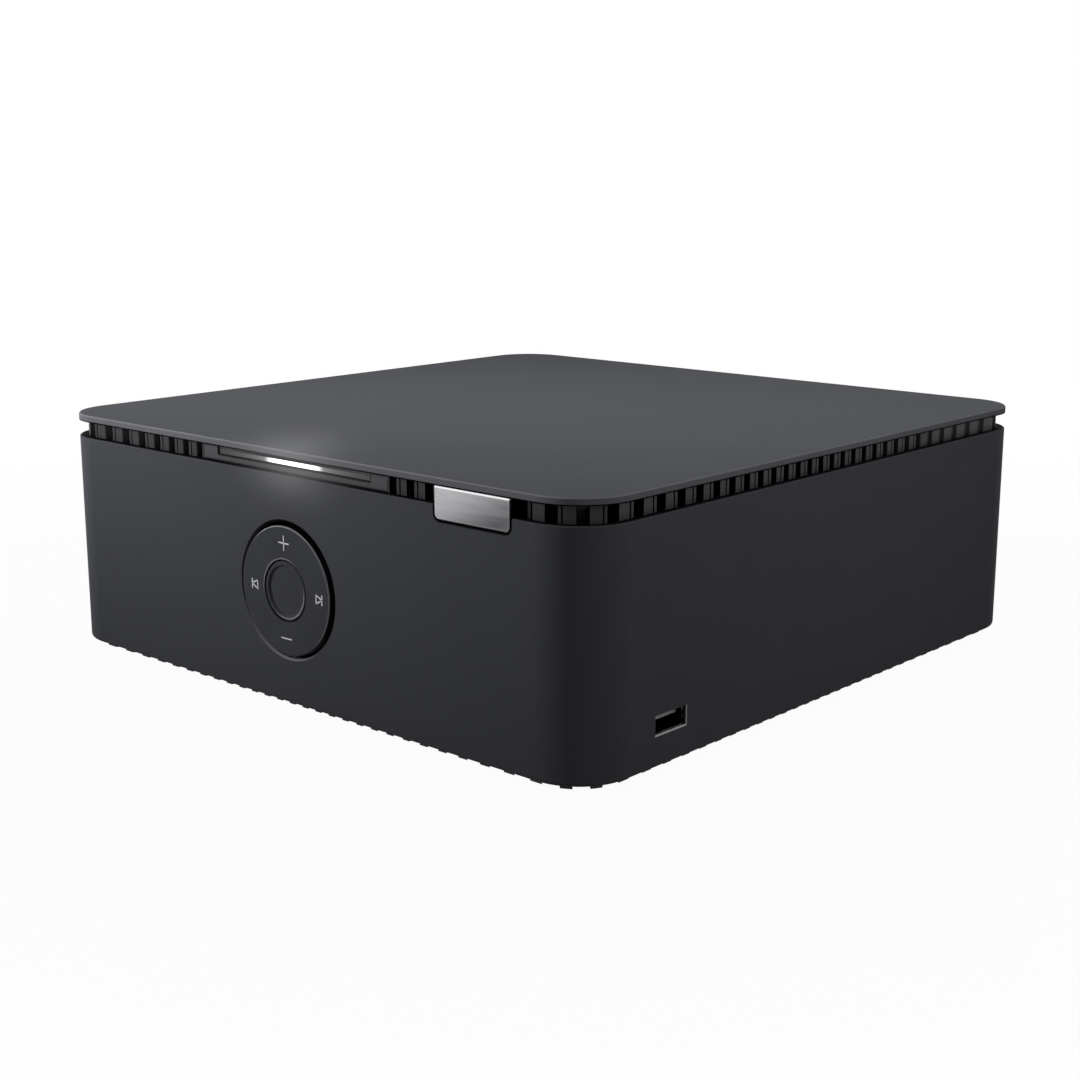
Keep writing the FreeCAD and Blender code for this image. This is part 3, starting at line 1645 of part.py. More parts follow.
# Boards and inner components

plug_top = board_top + plug_size[2]
plug_x = main_board_right - plug_edge_margin
plug_left = plug_x - plug_size[0] / 2
speaker_plug = (plug_x, main_board_front + speaker_plug_y)
supply_plug_main = (plug_x, main_board_front + supply_plug_y)
supply_plug_power = (power_board_left + supply_plug_x, main_board_front + supply_plug_y)
control_socket = (main_board_right - control_socket_from_right, main_board_front + control_socket_y)
mains_plug = (power_board_left + mains_plug_x, mains_plug_y)
heatsink_x = (main_board_left + plug_left) / 2
heatsink_centre_y = main_board_front + heatsink_y
logic_y = main_board_front + logic_row_y
logic_places = spread(main_board_left + board_end_margin, main_board_right - board_end_margin,
                      (processor_size[0], codec_size[0], module_size[0]))
processor_x, codec_x, module_x = logic_places
module_top = board_top + module_size[2] + module_can_size[2]


def board_with_holes(low, high, spots):
    """Flat board with its screw holes."""
    board = block((low[0], low[1], board_underside), (high[0], high[1], board_top))
    holes = [rod(clear_radius, (x, y, board_underside), (x, y, board_top)) for x, y in spots]
    return board.cut(group(holes))


def on_board(x, y, size, low=board_top):
    """Box centred on x and y that stands on a board or on a level above it."""
    width, depth, height = size
    return block((x - width / 2, y - depth / 2, low), (x + width / 2, y + depth / 2, low + height))


def round_can(x, y, radius, height, edge_round):
    """Upright can on a board, with a rounded top edge."""
    can = rod(radius, (x, y, board_top), (x, y, board_top + height))
    return can.makeFillet(edge_round, edges_at_height(can, board_top + height))


def main_board():
    """Main board with its small fixed parts."""
    low = (main_board_left, main_board_front)
    board = board_with_holes(low, (main_board_right, main_board_back), main_board_spots())
    extras = [on_board(x, y, plug_size) for x, y in (speaker_plug, supply_plug_main, control_socket)]
    switch_y = pairing_back - pairing_travel - running_gap - pairing_switch_size[1] / 2
    extras.append(on_board(pairing_x, switch_y, pairing_switch_size))
    extras.append(on_board(processor_x, logic_y, processor_size))
    extras.append(on_board(codec_x, logic_y, codec_size))
    can_y = main_board_front + small_can_y
    can_end = control_socket[0] - plug_size[0] / 2
    for x in spread(main_board_left + board_end_margin, can_end, [2 * small_can_radius] * small_can_count):
        extras.append(rod(small_can_radius, (x, can_y, board_top), (x, can_y, board_top + small_can_height)))
    return joined([board] + extras)


def amplifier_chips():
    """Two output chips under the heatsink."""
    places = (heatsink_x - chip_pitch / 2, heatsink_x + chip_pitch / 2)
    return group([on_board(x, heatsink_centre_y, chip_size) for x in places])


def heatsink():
    """Extruded heatsink that spans both chips and stands on two legs."""
    width, depth, base_height = heatsink_size
    low = board_top + chip_size[2]
    fin_low = low + base_height
    fin_top = fin_low + heatsink_fin_height
    front = heatsink_centre_y - depth / 2
    parts = [on_board(heatsink_x, heatsink_centre_y, heatsink_size, low)]
    step = (width - heatsink_fin) / (heatsink_fins - 1)
    for index in range(heatsink_fins):
        x = heatsink_x - width / 2 + index * step
        parts.append(block((x, front, fin_low), (x + heatsink_fin, front + depth, fin_top)))
    for side in (-1, 1):
        x = heatsink_x + side * (width / 2 - heatsink_leg_inset)
        parts.append(rod(heatsink_leg_radius, (x, heatsink_centre_y, board_top), (x, heatsink_centre_y, low)))
    return joined(parts)


def output_chokes():
    """Row of shielded round chokes."""
    y = main_board_front + choke_y
    places = spread(main_board_left, plug_left, [2 * choke_radius] * choke_count)
    return group([round_can(x, y, choke_radius, choke_height, choke_edge_round) for x in places])


def wireless_module():
    """Radio module: a small carrier with its shield can."""
    carrier = on_board(module_x, logic_y, module_size)
    can_x = module_x + (module_can_size[0] - module_size[0]) / 2 + module_can_margin
    can = on_board(can_x, logic_y, module_can_size, board_top + module_size[2])
    return joined([carrier, can])


antenna_face = right_face - frame_inset - post_depth
antenna_back = column_y - column_radius - antenna_column_gap
antenna_low = frame_bottom + antenna_lift


def antenna_strip():
    """Flat antenna on the inside of the vent frame, behind its closed stretch."""
    thickness, length, height = antenna_size
    return block((antenna_face - thickness, antenna_back - length, antenna_low),
                 (antenna_face, antenna_back, antenna_low + height))


def power_board():
    """Power supply board with its small fixed parts."""
    low = (power_board_left, power_board_front)
    board = board_with_holes(low, (power_board_right, power_board_back), power_board_spots())
    extras = [on_board(x, y, plug_size) for x, y in (supply_plug_power, mains_plug)]
    extras.append(on_board(power_board_left + filter_x, filter_y, filter_size))
    fuse_z = board_top + fuse_radius - fuse_sink
    fuse_start, fuse_end = [power_board_left + x for x in fuse_span]
    extras.append(rod(fuse_radius, (fuse_start, filter_y, fuse_z), (fuse_end, filter_y, fuse_z)))
    plate_y = transformer_y + cooling_plate_shift
    extras.append(on_board(power_board_left + cooling_plate_x, plate_y, cooling_plate))
    can_x = power_board_left + output_can_x
    can_top = board_top + output_can_height
    for y in (filter_y - output_can_pitch, filter_y):
        extras.append(rod(output_can_radius, (can_x, y, board_top), (can_x, y, can_top)))
    return joined([board] + extras)


def power_transformer():
    """Ferrite transformer: a core round a wound bobbin on its base."""
    x = power_board_left + transformer_x
    width, depth, height = core_size
    low = board_top + bobbin_base
    core = on_board(x, transformer_y, (width, core_thickness, height), low)
    winding_size = (width - 2 * core_limb, depth, height - 2 * core_limb)
    winding = on_board(x, transformer_y, winding_size, low + core_limb)
    base = on_board(x, transformer_y, (width, depth, bobbin_base))
    return joined([core, winding, base])


def bulk_capacitors():
    """Two large upright capacitors."""
    places = [power_board_left + x for x in capacitor_columns]
    return group([round_can(x, capacitor_y, capacitor_radius, capacitor_height, capacitor_edge_round)
                  for x in places])


def board_screws():
    """Screws of the main, power and USB boards."""
    screws = []
    for x, y in main_board_spots() + power_board_spots():
        screws.append(screw((x, y, board_top), (0, 0, -1), standoff_screw_length))
    for x, y in usb_board_spots():
        screws.append(screw((x, y, usb_board_low + board_thickness), (0, 0, -1), usb_screw_length))
    return group(screws)


# Wiring


def pin_offset(index, count, pitch):
    """Offset of one pin of a row from the row's middle."""
    return (index - (count - 1) / 2) * pitch


def speaker_wires():
    """One wire from each binding post to the main board's speaker socket."""
    wires = []
    end_x, end_y = speaker_plug
    tail = panel_back - stud_tail
    spots = terminal_spots()
    for index, (x, z) in enumerate(spots):
        pin_x = end_x - pin_offset(index, len(spots), speaker_pin_pitch)
        level = plug_top + speaker_wire_rise - wire_layer * index
        points = [(x, tail, z), (x, tail - wire_lead, z), (pin_x, end_y + speaker_wire_reach, level),
                  (pin_x, end_y, plug_top + speaker_wire_drop), (pin_x, end_y, plug_top)]
        wires.append(cable(points, wire_radius))
    return group(wires)


def mains_leads():
    """Routes of the leads: live to the switch, switch to the board, neutral to the board."""
    end_x, end_y = mains_plug
    tail = panel_face - inlet_body[2] - inlet_pin_tail
    tab = panel_face - switch_body[2] - switch_tab
    neutral, live = [end_x + side * plug_pin_offset for side in (-1, 1)]
    inlet_left, inlet_right = inlet_pin_xs()
    low_tab = switch_z - switch_tab_pitch
    high_tab = switch_z + switch_tab_pitch
    to_switch = [(inlet_left, tail, inlet_z), (inlet_left, tail - mains_lead, inlet_z),
                 (inlet_x, tab - mains_lead, low_tab), (inlet_x, tab, low_tab)]
    from_switch = [(inlet_x, tab, high_tab), (inlet_x, tab - wire_lead, high_tab),
                   (live, end_y, plug_top + live_rise), (live, end_y, plug_top)]
    straight = [(inlet_right, tail, inlet_z), (inlet_right, tail - neutral_lead, inlet_z),
                (neutral, end_y, plug_top + neutral_rise), (neutral, end_y, plug_top)]
    return [to_switch, from_switch, straight]


def power_wires():
    """Mains leads by way of the switch, and the supply leads between the boards."""
    routes = mains_leads()
    start_x, start_y = supply_plug_power
    end_x, end_y = supply_plug_main
    for index in range(supply_wires):
        offset = pin_offset(index, supply_wires, supply_pin_pitch)
        rise = plug_top + supply_wire_rise + wire_layer * index
        routes.append([(start_x + offset, start_y, plug_top), (start_x + offset, start_y, rise),
                       (end_x - offset, end_y, rise), (end_x - offset, end_y, plug_top)])
    return group([cable(route, wire_radius) for route in routes])


def control_cable():
    """Cable from the dial's board to the main board."""
    x, z = control_plug()
    back = control_board_face + board_thickness + control_plug_size[2]
    end_x, end_y = control_socket
    pin_x = end_x + plug_pin_offset
    return cable([(x, back, z), (x, back + control_lead, z),
                  (pin_x, end_y - control_reach, z + control_lift),
                  (pin_x, end_y, plug_top + control_drop), (pin_x, end_y, plug_top)], cable_radius)


def light_cable():
    """Cable from the light bar's board to the main board."""
    back = band_face + guide_setback + guide_length + led_board_thickness
    z = window_z() - light_cable_drop
    end_x, end_y = control_socket
    pin_x = end_x - plug_pin_offset
    return cable([(light_cable_x, back, z), (light_cable_x, back + light_lead, z),
                  (pin_x, end_y - light_reach, z - light_sag),
                  (pin_x, end_y, plug_top + light_rise), (pin_x, end_y, plug_top)], wire_radius)


def usb_cable():
    """Cable from the USB board to the front of the control socket."""
    left = usb_mouth - usb_board_size[0]
    level = usb_board_low + board_thickness + usb_cable_lift
    end_x, end_y = control_socket
    end_x -= usb_cable_offset
    end_y -= plug_size[1] / 2
    end_z = board_top + plug_size[2] / 2
    return cable([(left, usb_y, level), (left - usb_lead, usb_y, level),
                  (left - usb_reach, usb_y + usb_sway, level + usb_rise),
                  (end_x, end_y - usb_tail, end_z), (end_x, end_y, end_z)], cable_radius)


def antenna_cable():
    """Thin cable from the antenna strip to the wireless module."""
    x = antenna_face - antenna_size[0]
    y = antenna_back - antenna_size[1] + antenna_feed
    z = antenna_low + antenna_size[2] / 2
    return cable([(x, y, z), (x - wire_lead, y, z), (module_x + antenna_reach, logic_y, z - antenna_sag),
                  (module_x, logic_y, z - antenna_drop), (module_x, logic_y, module_top)], coax_radius)


def signal_cables():
    """Control, light bar, USB and antenna cables."""
    return group([control_cable(), light_cable(), usb_cable(), antenna_cable()])


nodes = {
    "top_lid": top_lid(),
    "lid_clips": lid_clips(),
    "vent_frame": vent_frame(),
    "frame_screws": frame_screws(),
    "light_panel": light_panel(),
    "light_guide": light_guide(),
    "led_board": led_board(),
    "badge_plate": badge_plate(),
    "enclosure_shell": enclosure_shell(),
    "dial_housing": dial_housing(),
    "dial_carrier": dial_carrier(),
    "dial_ring": dial_ring(),
    "centre_button": centre_button(),
    "control_board": control_board(),
    "snap_domes": snap_domes(),
    "dial_screws": dial_screws(),
    "base_plate": base_plate(),
    "rubber_feet": rubber_feet(),
    "base_screws": base_screws(),
    "connector_bay": connector_bay(),
    "mains_inlet": mains_inlet(),
    "mains_pins": mains_pins(),
    "switch_housing": switch_housing(),
    "power_rocker": power_rocker(),
    "terminal_bushings": terminal_bushings(),
    "terminal_studs": terminal_studs(),
    "terminal_nuts": terminal_nuts(),
    "phono_block": phono_block(),
    "phono_sleeves": phono_sleeves(),
    "phono_inserts": phono_inserts(),
    "optical_socket": optical_socket(),
    "optical_shutter": optical_shutter(),
    "hdmi_shell": hdmi_shell(),
    "hdmi_tongue": hdmi_tongue_piece(),
    "lan_socket": lan_socket(),
    "pairing_button": pairing_button(),
    "usb_shell": usb_shell(),
    "usb_tongue": usb_tongue(),
    "usb_board": usb_board(),
    "main_board": main_board(),
    "amplifier_chips": amplifier_chips(),
    "heatsink": heatsink(),
    "output_chokes": output_chokes(),
    "wireless_module": wireless_module(),
    "antenna_strip": antenna_strip(),
    "power_board": power_board(),
    "power_transformer": power_transformer(),
    "bulk_capacitors": bulk_capacitors(),
    "board_screws": board_screws(),
    "speaker_wires": speaker_wires(),
    "power_wires": power_wires(),
    "signal_cables": signal_cables(),
}
for number, (x, z) in enumerate(terminal_spots(), start=1):
    nodes[f"terminal_washer_{number}"] = terminal_washer(x, z)
    nodes[f"terminal_cap_{number}"] = terminal_cap(x, z)

for name, shape in nodes.items():
    shape.exportStep(os.path.join("parts", name + ".step"))
    print(name, len(shape.Solids), "solids", round(shape.Volume / 1000.0, 2), "cm3", shape.isValid())
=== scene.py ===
# Looks of a compact stereo amplifier, dressed round its fixed construction model.
# Lengths are in metres. +X is right, +Y is back and +Z is up. The front faces -Y.
import math

import bmesh
import bpy
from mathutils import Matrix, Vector


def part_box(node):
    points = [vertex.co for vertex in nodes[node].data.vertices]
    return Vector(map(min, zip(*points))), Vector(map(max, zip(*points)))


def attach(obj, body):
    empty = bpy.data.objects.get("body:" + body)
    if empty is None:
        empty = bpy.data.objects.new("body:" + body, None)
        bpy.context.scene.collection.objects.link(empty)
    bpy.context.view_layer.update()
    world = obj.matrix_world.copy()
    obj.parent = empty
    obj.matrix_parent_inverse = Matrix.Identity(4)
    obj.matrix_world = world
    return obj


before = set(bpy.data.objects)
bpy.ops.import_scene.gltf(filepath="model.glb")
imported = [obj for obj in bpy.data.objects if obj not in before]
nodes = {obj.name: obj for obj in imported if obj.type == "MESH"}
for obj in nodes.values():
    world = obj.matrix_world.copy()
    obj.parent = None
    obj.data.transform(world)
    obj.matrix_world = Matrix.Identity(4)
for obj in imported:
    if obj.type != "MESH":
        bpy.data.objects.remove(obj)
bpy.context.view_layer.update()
MM = 0.001


# Camera, world, floor and lamps

CAMERA_PLACE = Vector((365.65, -410.67, 157.50)) * MM
CAMERA_BACK = Vector((0.65195, -0.72538, 0.22087))
CAMERA_LENS = 57.38
SENSOR_WIDTH = 36.0
NEAREST_SEEN = 0.01
FARTHEST_SEEN = 50.0
AMBIENT = 0.37
FLOOR_SIZE = 12.0
FLOOR_PALE = 0.9
FLOOR_BOUNCE = 0.12
FLOOR_GLOW_SHARE = 0.96
FLOOR_FADE_START = 0.16
FLOOR_FADE_END = 0.5

# Place, target, side of the square in metres, watts and spread in degrees.
# The first and the last have a narrow spread, as softboxes with a grid.
LAMPS = {
    "front_left": ((-0.75, -0.62, 0.27), (-0.145, -0.11, 0.195), 0.15, 0.75, 28.0),
    "overhead": ((-0.1, 0.25, 1.3), (0.0, 0.0, 0.04), 1.4, 2.5, 180.0),
    "right_back": ((0.95, 0.35, 0.45), (0.11, 0.0, 0.21), 0.15, 0.15, 28.0),
}


def add_camera():
    """Camera at the photograph's viewing angle."""
    data = bpy.data.cameras.new("camera")
    data.lens = CAMERA_LENS
    data.sensor_width = SENSOR_WIDTH
    data.clip_start = NEAREST_SEEN
    data.clip_end = FARTHEST_SEEN
    camera = bpy.data.objects.new("camera", data)
    camera.location = CAMERA_PLACE
    camera.rotation_euler = CAMERA_BACK.to_track_quat("Z", "Y").to_euler()
    bpy.context.scene.collection.objects.link(camera)
    bpy.context.scene.camera = camera


def plain_shader(tree, kind, level=1.0, strength=None):
    """Shader of one grey level."""
    shader = tree.nodes.new(kind)
    shader.inputs["Color"].default_value = (level, level, level, 1.0)
    if strength is not None:
        shader.inputs["Strength"].default_value = strength
    return shader.outputs[0]


def blend(tree, factor, first, second):
    """Shader between two shaders."""
    mix = tree.nodes.new("ShaderNodeMixShader")
    for socket, source in zip(mix.inputs, (factor, first, second)):
        tree.links.new(source, socket)
    return mix.outputs[0]


def shows_background(tree):
    """Factor that is 1 for the rays that see the white background."""
    path = tree.nodes.new("ShaderNodeLightPath")
    total = path.outputs["Is Camera Ray"]
    for name in ("Is Glossy Ray", "Is Transmission Ray"):
        larger = tree.nodes.new("ShaderNodeMath")
        larger.operation = "MAXIMUM"
        tree.links.new(total, larger.inputs[0])
        tree.links.new(path.outputs[name], larger.inputs[1])
        total = larger.outputs[0]
    return total


def add_world():
    """White backdrop with a plain soft ambient light."""
    world = bpy.data.worlds.new("world")
    world.use_nodes = True
    tree = world.node_tree
    tree.nodes.clear()
    ambient = plain_shader(tree, "ShaderNodeBackground", strength=AMBIENT)
    white = plain_shader(tree, "ShaderNodeBackground", strength=1.0)
    output = tree.nodes.new("ShaderNodeOutputWorld")
    tree.links.new(blend(tree, shows_background(tree), ambient, white), output.inputs["Surface"])
    bpy.context.scene.world = world


def floor_material():
    """Pale floor that turns into the backdrop's white with the distance from the middle."""
    material = bpy.data.materials.new("floor")
    material.use_nodes = True
    tree = material.node_tree
    tree.nodes.clear()
    place = tree.nodes.new("ShaderNodeTexCoord")
    distance = tree.nodes.new("ShaderNodeVectorMath")
    distance.operation = "LENGTH"
    tree.links.new(place.outputs["Object"], distance.inputs[0])
    share = tree.nodes.new("ShaderNodeMapRange")
    share.interpolation_type = "SMOOTHSTEP"
    share.inputs["From Min"].default_value = FLOOR_FADE_START
    share.inputs["From Max"].default_value = FLOOR_FADE_END
    share.inputs["To Min"].default_value = FLOOR_GLOW_SHARE
    share.inputs["To Max"].default_value = 1.0
    tree.links.new(distance.outputs["Value"], share.inputs["Value"])
    pale = plain_shader(tree, "ShaderNodeBsdfDiffuse", FLOOR_PALE)
    bounce = plain_shader(tree, "ShaderNodeBsdfDiffuse", FLOOR_BOUNCE)
    glow = plain_shader(tree, "ShaderNodeEmission")
    seen = blend(tree, share.outputs[0], pale, glow)
    output = tree.nodes.new("ShaderNodeOutputMaterial")
    tree.links.new(blend(tree, shows_background(tree), bounce, seen), output.inputs["Surface"])
    return material


def add_floor():
    """Flat floor that keeps a soft shadow."""
    mesh = bpy.data.meshes.new("floor")
    half = FLOOR_SIZE / 2
    corners = [(-half, -half, 0), (half, -half, 0), (half, half, 0), (-half, half, 0)]
    mesh.from_pydata(corners, [], [(0, 1, 2, 3)])
    floor = bpy.data.objects.new("floor", mesh)
    bpy.context.scene.collection.objects.link(floor)
    mesh.materials.append(floor_material())


def add_lamps():
    """Soft studio light: from the front left, from above and from the right behind."""
    for name, (place, target, side, power, spread) in LAMPS.items():
        data = bpy.data.lights.new(name, "AREA")
        data.shape = "RECTANGLE"
        data.size = side
        data.size_y = side
        data.energy = power
        data.spread = math.radians(spread)
        lamp = bpy.data.objects.new(name, data)
        lamp.location = place
        lamp.rotation_euler = (Vector(place) - Vector(target)).to_track_quat("Z", "Y").to_euler()
        lamp.visible_glossy = False
        bpy.context.scene.collection.objects.link(lamp)


# Measures of the construction model that the masks follow

BODY_HALF = 110.0 * MM
BODY_CORNER = 16.3 * MM
LID_UNDERSIDE = 74.7 * MM
BADGE_CORNER = 1.6 * MM
SLOT_CORNER = 0.2 * MM
WELL_EDGE = 19.975 * MM
RING_RADIUS = 18.7 * MM
RING_EDGE = 18.45 * MM
BORE_EDGE = 9.3 * MM
BUTTON_EDGE = 7.9 * MM
PORT_MIDDLE = (-76.0 * MM, 15.0 * MM)
PORT_HALF = (6.5 * MM, 2.75 * MM)


# Colours, as they show on the screen from 0 to 255

LID = (88, 89, 93)
# Lighter edge colours are painted highlights on the coated edges
LID_EDGE_HIGHLIGHT = (106, 107, 111)
SHELL = (62, 63, 67)
SHELL_EDGE_HIGHLIGHT = (80, 81, 85)
# Near black painted shade, put in gaps, openings and recesses
PAINTED_SHADE = (5, 5, 6)
LIT_EDGE = (118, 119, 123)
# Painted highlight on the cut edges of the front port
PORT_EDGE_HIGHLIGHT = (214, 214, 216)


# Distances from the middle: a mask of one wall holds in full beyond the first and ends at the second

WALL_FULL = 99.0 * MM
WALL_GONE = 88.0 * MM
DIAL_FULL = 55.0 * MM


# Masks: each pair is the distance that they cover in full and the distance over which they fade

LINE_FADE = 0.04 * MM
LID_SHADE = (0.35 * MM, 0.15 * MM)
# Painted shade inside the openings of the sleeve
WALL_SHADE = (0.45 * MM, 0.45 * MM)
# Painted shadow in the gap round the badge, painted shade behind it and on its stem, and a painted highlight
# on its top edge
BADGE_GAP_SHADE = (0.7 * MM, 0.25 * MM)
BADGE_BACK_SHADE = (3.0 * MM, 0.4 * MM)
BADGE_STEM_SHADE = (0.9 * MM, 0.2 * MM)
BADGE_TOP_HIGHLIGHT = (0.35 * MM, 0.1 * MM)
# Painted shade in the vent slots and on the light panel
VENT_SLOT_SHADE = (2.85 * MM, 0.35 * MM)
PANEL_FOOT_SHADE = (1.2 * MM, 0.35 * MM)
PANEL_SHADE = (0.6 * MM, 0.15 * MM)
GUIDE_SHADE = (0.6 * MM, 0.15 * MM)
GUIDE_RIM = (0.15 * MM, 0.15 * MM)
# Front port: painted shade inside behind the mouth, and a painted highlight on its cut edges
PORT_MOUTH = (0.2 * MM, 0.2 * MM)
PORT_SILL_DEPTH = (0.7 * MM, 0.2 * MM)
PORT_END_DEPTH = (0.2 * MM, 0.1 * MM)
COLUMN_FADE = 0.5 * MM
SPRING_HEIGHT = (2.4 * MM, 0.6 * MM)
SPRING_DEPTH = (0.6 * MM, 0.8 * MM)
TAPE_START = (9.0 * MM, 0.2 * MM)

# Upward part of the normal on the lid's chamfer, where a highlight is painted, and how far it may differ
CHAMFER_HIGHLIGHT_RISE = (0.7, 0.2)

# Half widths of painted lines of shade and highlight
SLOT_SHADE_LINE = 0.22 * MM
PORT_SILL_LINE = 0.1 * MM
PORT_END_LINE = 0.08 * MM

# Painted highlight and shade lines round the dial's centre: radius, half width, colour, side on which they
# are strongest as x and z, and cosine of the angle from that side at which they begin
WELL_HIGHLIGHT_AND_SHADE = (
    (WELL_EDGE, 0.275 * MM, LIT_EDGE, (-0.4, -0.92), 0.5),
    (WELL_EDGE, 0.3575 * MM, PAINTED_SHADE, (0.75, 0.66), -0.1),
)
DIAL_HIGHLIGHT_AND_SHADE = (
    (RING_EDGE, 0.16 * MM, LIT_EDGE, (0.75, 0.66), -0.2),
    (RING_RADIUS, 0.05 * MM, PAINTED_SHADE, (0.75, 0.66), -0.1),
    (BUTTON_EDGE, 0.2 * MM, LIT_EDGE, (0.6, -0.8), 0.3),
    (BORE_EDGE, 0.12 * MM, LIT_EDGE, (-0.6, 0.8), 0.3),
)

# Cosine over which such a line grows to its full strength
LINE_GROWTH = 0.5


# Light bar and its halo on the lid and the front

LIGHT_MIDDLE = 0.6 * MM
LIGHT_CORE = (8.0 * MM, 5.0 * MM)
LIGHT_CORE_STRENGTH = 1.6
LIGHT_TAIL = 7.6 * MM
LID_HALO = 0.1
FRONT_HALO = 0.085
HALO_MIDDLE = 1.0 * MM
HALO_HEIGHT = 71.8 * MM
HALO_WIDTH = 10.2 * MM
HALO_DROP = 5.1 * MM
HALO_TURN = math.radians(42.0)
HALO_LID_START = 13.0 * MM
HALO_LID_REACH = 27.0 * MM
HALO_LID_WIDTH = 9.0 * MM


# Shader graph helper

NOISE_SPREAD = (0.3, 0.7)
CLOUDS = 60.0
PATCHES = 170.0
SPARK_CELLS = 2600.0
SPARK_DEPTH = 0.02 * MM
COATED_EDGE = 0.25 * MM
MOULDED_EDGE = 0.2 * MM
PLATED_EDGE = 0.12 * MM
WEAR_AND_HIGHLIGHT_TURN = (0.03, 0.3)
WEAR_AND_HIGHLIGHT_SCALE = 260.0
WEAR_AND_HIGHLIGHT_SPREAD = (0.3, 0.6)
WEAR_AND_HIGHLIGHT_LEAST = 0.55
BEVEL_SAMPLES = 4
COLOUR_MIX_INPUTS = (0, 6, 7)
COLOUR_MIX_RESULT = 2
BRUSHED_LINES = (0.05, 1.0, 1.0)
BRUSHED_HAIRS = (0.03, 1.0, 1.0)
TAPE_LAYERS = (0.1, 1.0, 1.0)
FROM_FRONT = (1.0, 0.0, 1.0)
FROM_ABOVE = (1.0, 1.0, 0.0)


class Graph:
    """One procedural material and short ways to add nodes to it."""

    def __init__(self, name):
        self.material = bpy.data.materials.new(name)
        self.material.use_nodes = True
        self.tree = self.material.node_tree
        self.shader = self.tree.nodes["Principled BSDF"]
        self.place = self.add("ShaderNodeTexCoord").outputs["Object"]
        self.normal = None

    def add(self, kind, **inputs):
        """New node; an input is a value or another node's output."""
        node = self.tree.nodes.new(kind)
        for name, value in inputs.items():
            self.fill(node.inputs[name.replace("_", " ")], value)
        return node

    def fill(self, socket, value):
        """Sets a socket to a value or links an output to it."""
        if isinstance(value, bpy.types.NodeSocket):
            self.tree.links.new(value, socket)
        else:
            socket.default_value = value

    def math(self, operation, first, second=0.0):
        """Result of an operation on one or two values."""
        node = self.tree.nodes.new("ShaderNodeMath")
        node.operation = operation
        self.fill(node.inputs[0], first)
        self.fill(node.inputs[1], second)
        return node.outputs[0]

    def product(self, first, second):
        """First times second."""
        return self.math("MULTIPLY", first, second)

    def total(self, first, second):
        """First plus second."""
        return self.math("ADD", first, second)

    def larger(self, first, second):
        """The larger of two values, which joins two masks."""
        return self.math("MAXIMUM", first, second)

    def vector(self, operation, first, second=(0.0, 0.0, 0.0)):
        """Result of an operation on one or two vectors."""
        node = self.tree.nodes.new("ShaderNodeVectorMath")
        node.operation = operation
        self.fill(node.inputs[0], first)
        self.fill(node.inputs[1], second)
        return node.outputs["Value" if operation in ("LENGTH", "DOT_PRODUCT") else "Vector"]

    def axis(self, letter, vector=None):
        """One part of a vector, or one coordinate in metres."""
        return self.add("ShaderNodeSeparateXYZ", Vector=vector or self.place).outputs[letter]

    def past(self, letter, level):
        """Distance along an axis past a level."""
        return self.math("SUBTRACT", self.axis(letter), level)

    def short_of(self, letter, level):
        """Distance along an axis that is left before a level."""
        return self.math("SUBTRACT", level, self.axis(letter))

    def away(self, value, target):
        """How far a value is from a target, either way."""
        return self.math("ABSOLUTE", self.math("SUBTRACT", value, target))

    def ramp(self, value, low, high, to_low=0.0, to_high=1.0, smooth=False):
        """Value mapped from one range to another, held at its ends."""
        node = self.tree.nodes.new("ShaderNodeMapRange")
        node.interpolation_type = "SMOOTHSTEP" if smooth else "LINEAR"
        for socket, number in zip(node.inputs, (value, low, high, to_low, to_high)):
            self.fill(socket, number)
        return node.outputs[0]

    def within(self, distance, full, fade, smooth=False):
        """Mask that is 1 up to the distance full and 0 beyond the fade after it."""
        return self.ramp(distance, full + fade, full, smooth=smooth)

    def after(self, distance, full, fade):
        """Mask that is 0 up to the distance full and 1 beyond the fade after it."""
        return self.ramp(distance, full, full + fade)

    def close(self, value, target, reach):
        """Mask of a line: 1 where value is within reach of target."""
        return self.within(self.away(value, target), reach, LINE_FADE)

    def beyond(self, centre, half, corner, axes):
        """Distance outside a rounded rectangle that spans the axes marked 1; negative inside."""
        offset = self.vector("SUBTRACT", self.vector("MULTIPLY", self.place, axes), centre)
        spread = self.vector("SUBTRACT", self.vector("ABSOLUTE", offset), [side - corner for side in half])
        return self.math("SUBTRACT", self.vector("LENGTH", self.vector("MAXIMUM", spread)), corner)

    def inboard(self):
        """Distance inwards from the upright outer face of the body."""
        half = (BODY_HALF, BODY_HALF, BODY_CORNER)
        return self.product(self.beyond((0.0, 0.0, 0.0), half, BODY_CORNER, FROM_ABOVE), -1.0)

    def round_badge(self):
        """Distance outside the badge plate, seen from the front."""
        low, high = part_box("badge_plate")
        centre = ((low.x + high.x) / 2, 0.0, (low.z + high.z) / 2)
        half = ((high.x - low.x) / 2, BADGE_CORNER, (high.z - low.z) / 2)
        outside = self.beyond(centre, half, BADGE_CORNER, FROM_FRONT)
        return self.total(outside, self.ramp(self.axis("Y"), -WALL_FULL, -WALL_GONE))

    def noise(self, scale, detail=2.0, vector=None):
        """Noise value from 0 to 1."""
        node = self.add("ShaderNodeTexNoise", Vector=vector or self.place, Scale=scale, Detail=detail)
        return node.outputs["Fac"]

    def uneven(self, scale, detail=2.0, low=0.0, high=1.0):
        """Value that wanders softly from low to high."""
        return self.ramp(self.noise(scale, detail), *NOISE_SPREAD, low, high)

    def cells(self, scale):
        """Distance to the nearest point of a cell pattern."""
        return self.add("ShaderNodeTexVoronoi", Vector=self.place, Scale=scale).outputs["Distance"]

    def stretched(self, scale):
        """Object coordinates scaled differently along each axis."""
        return self.add("ShaderNodeMapping", Vector=self.place, Scale=scale).outputs[0]

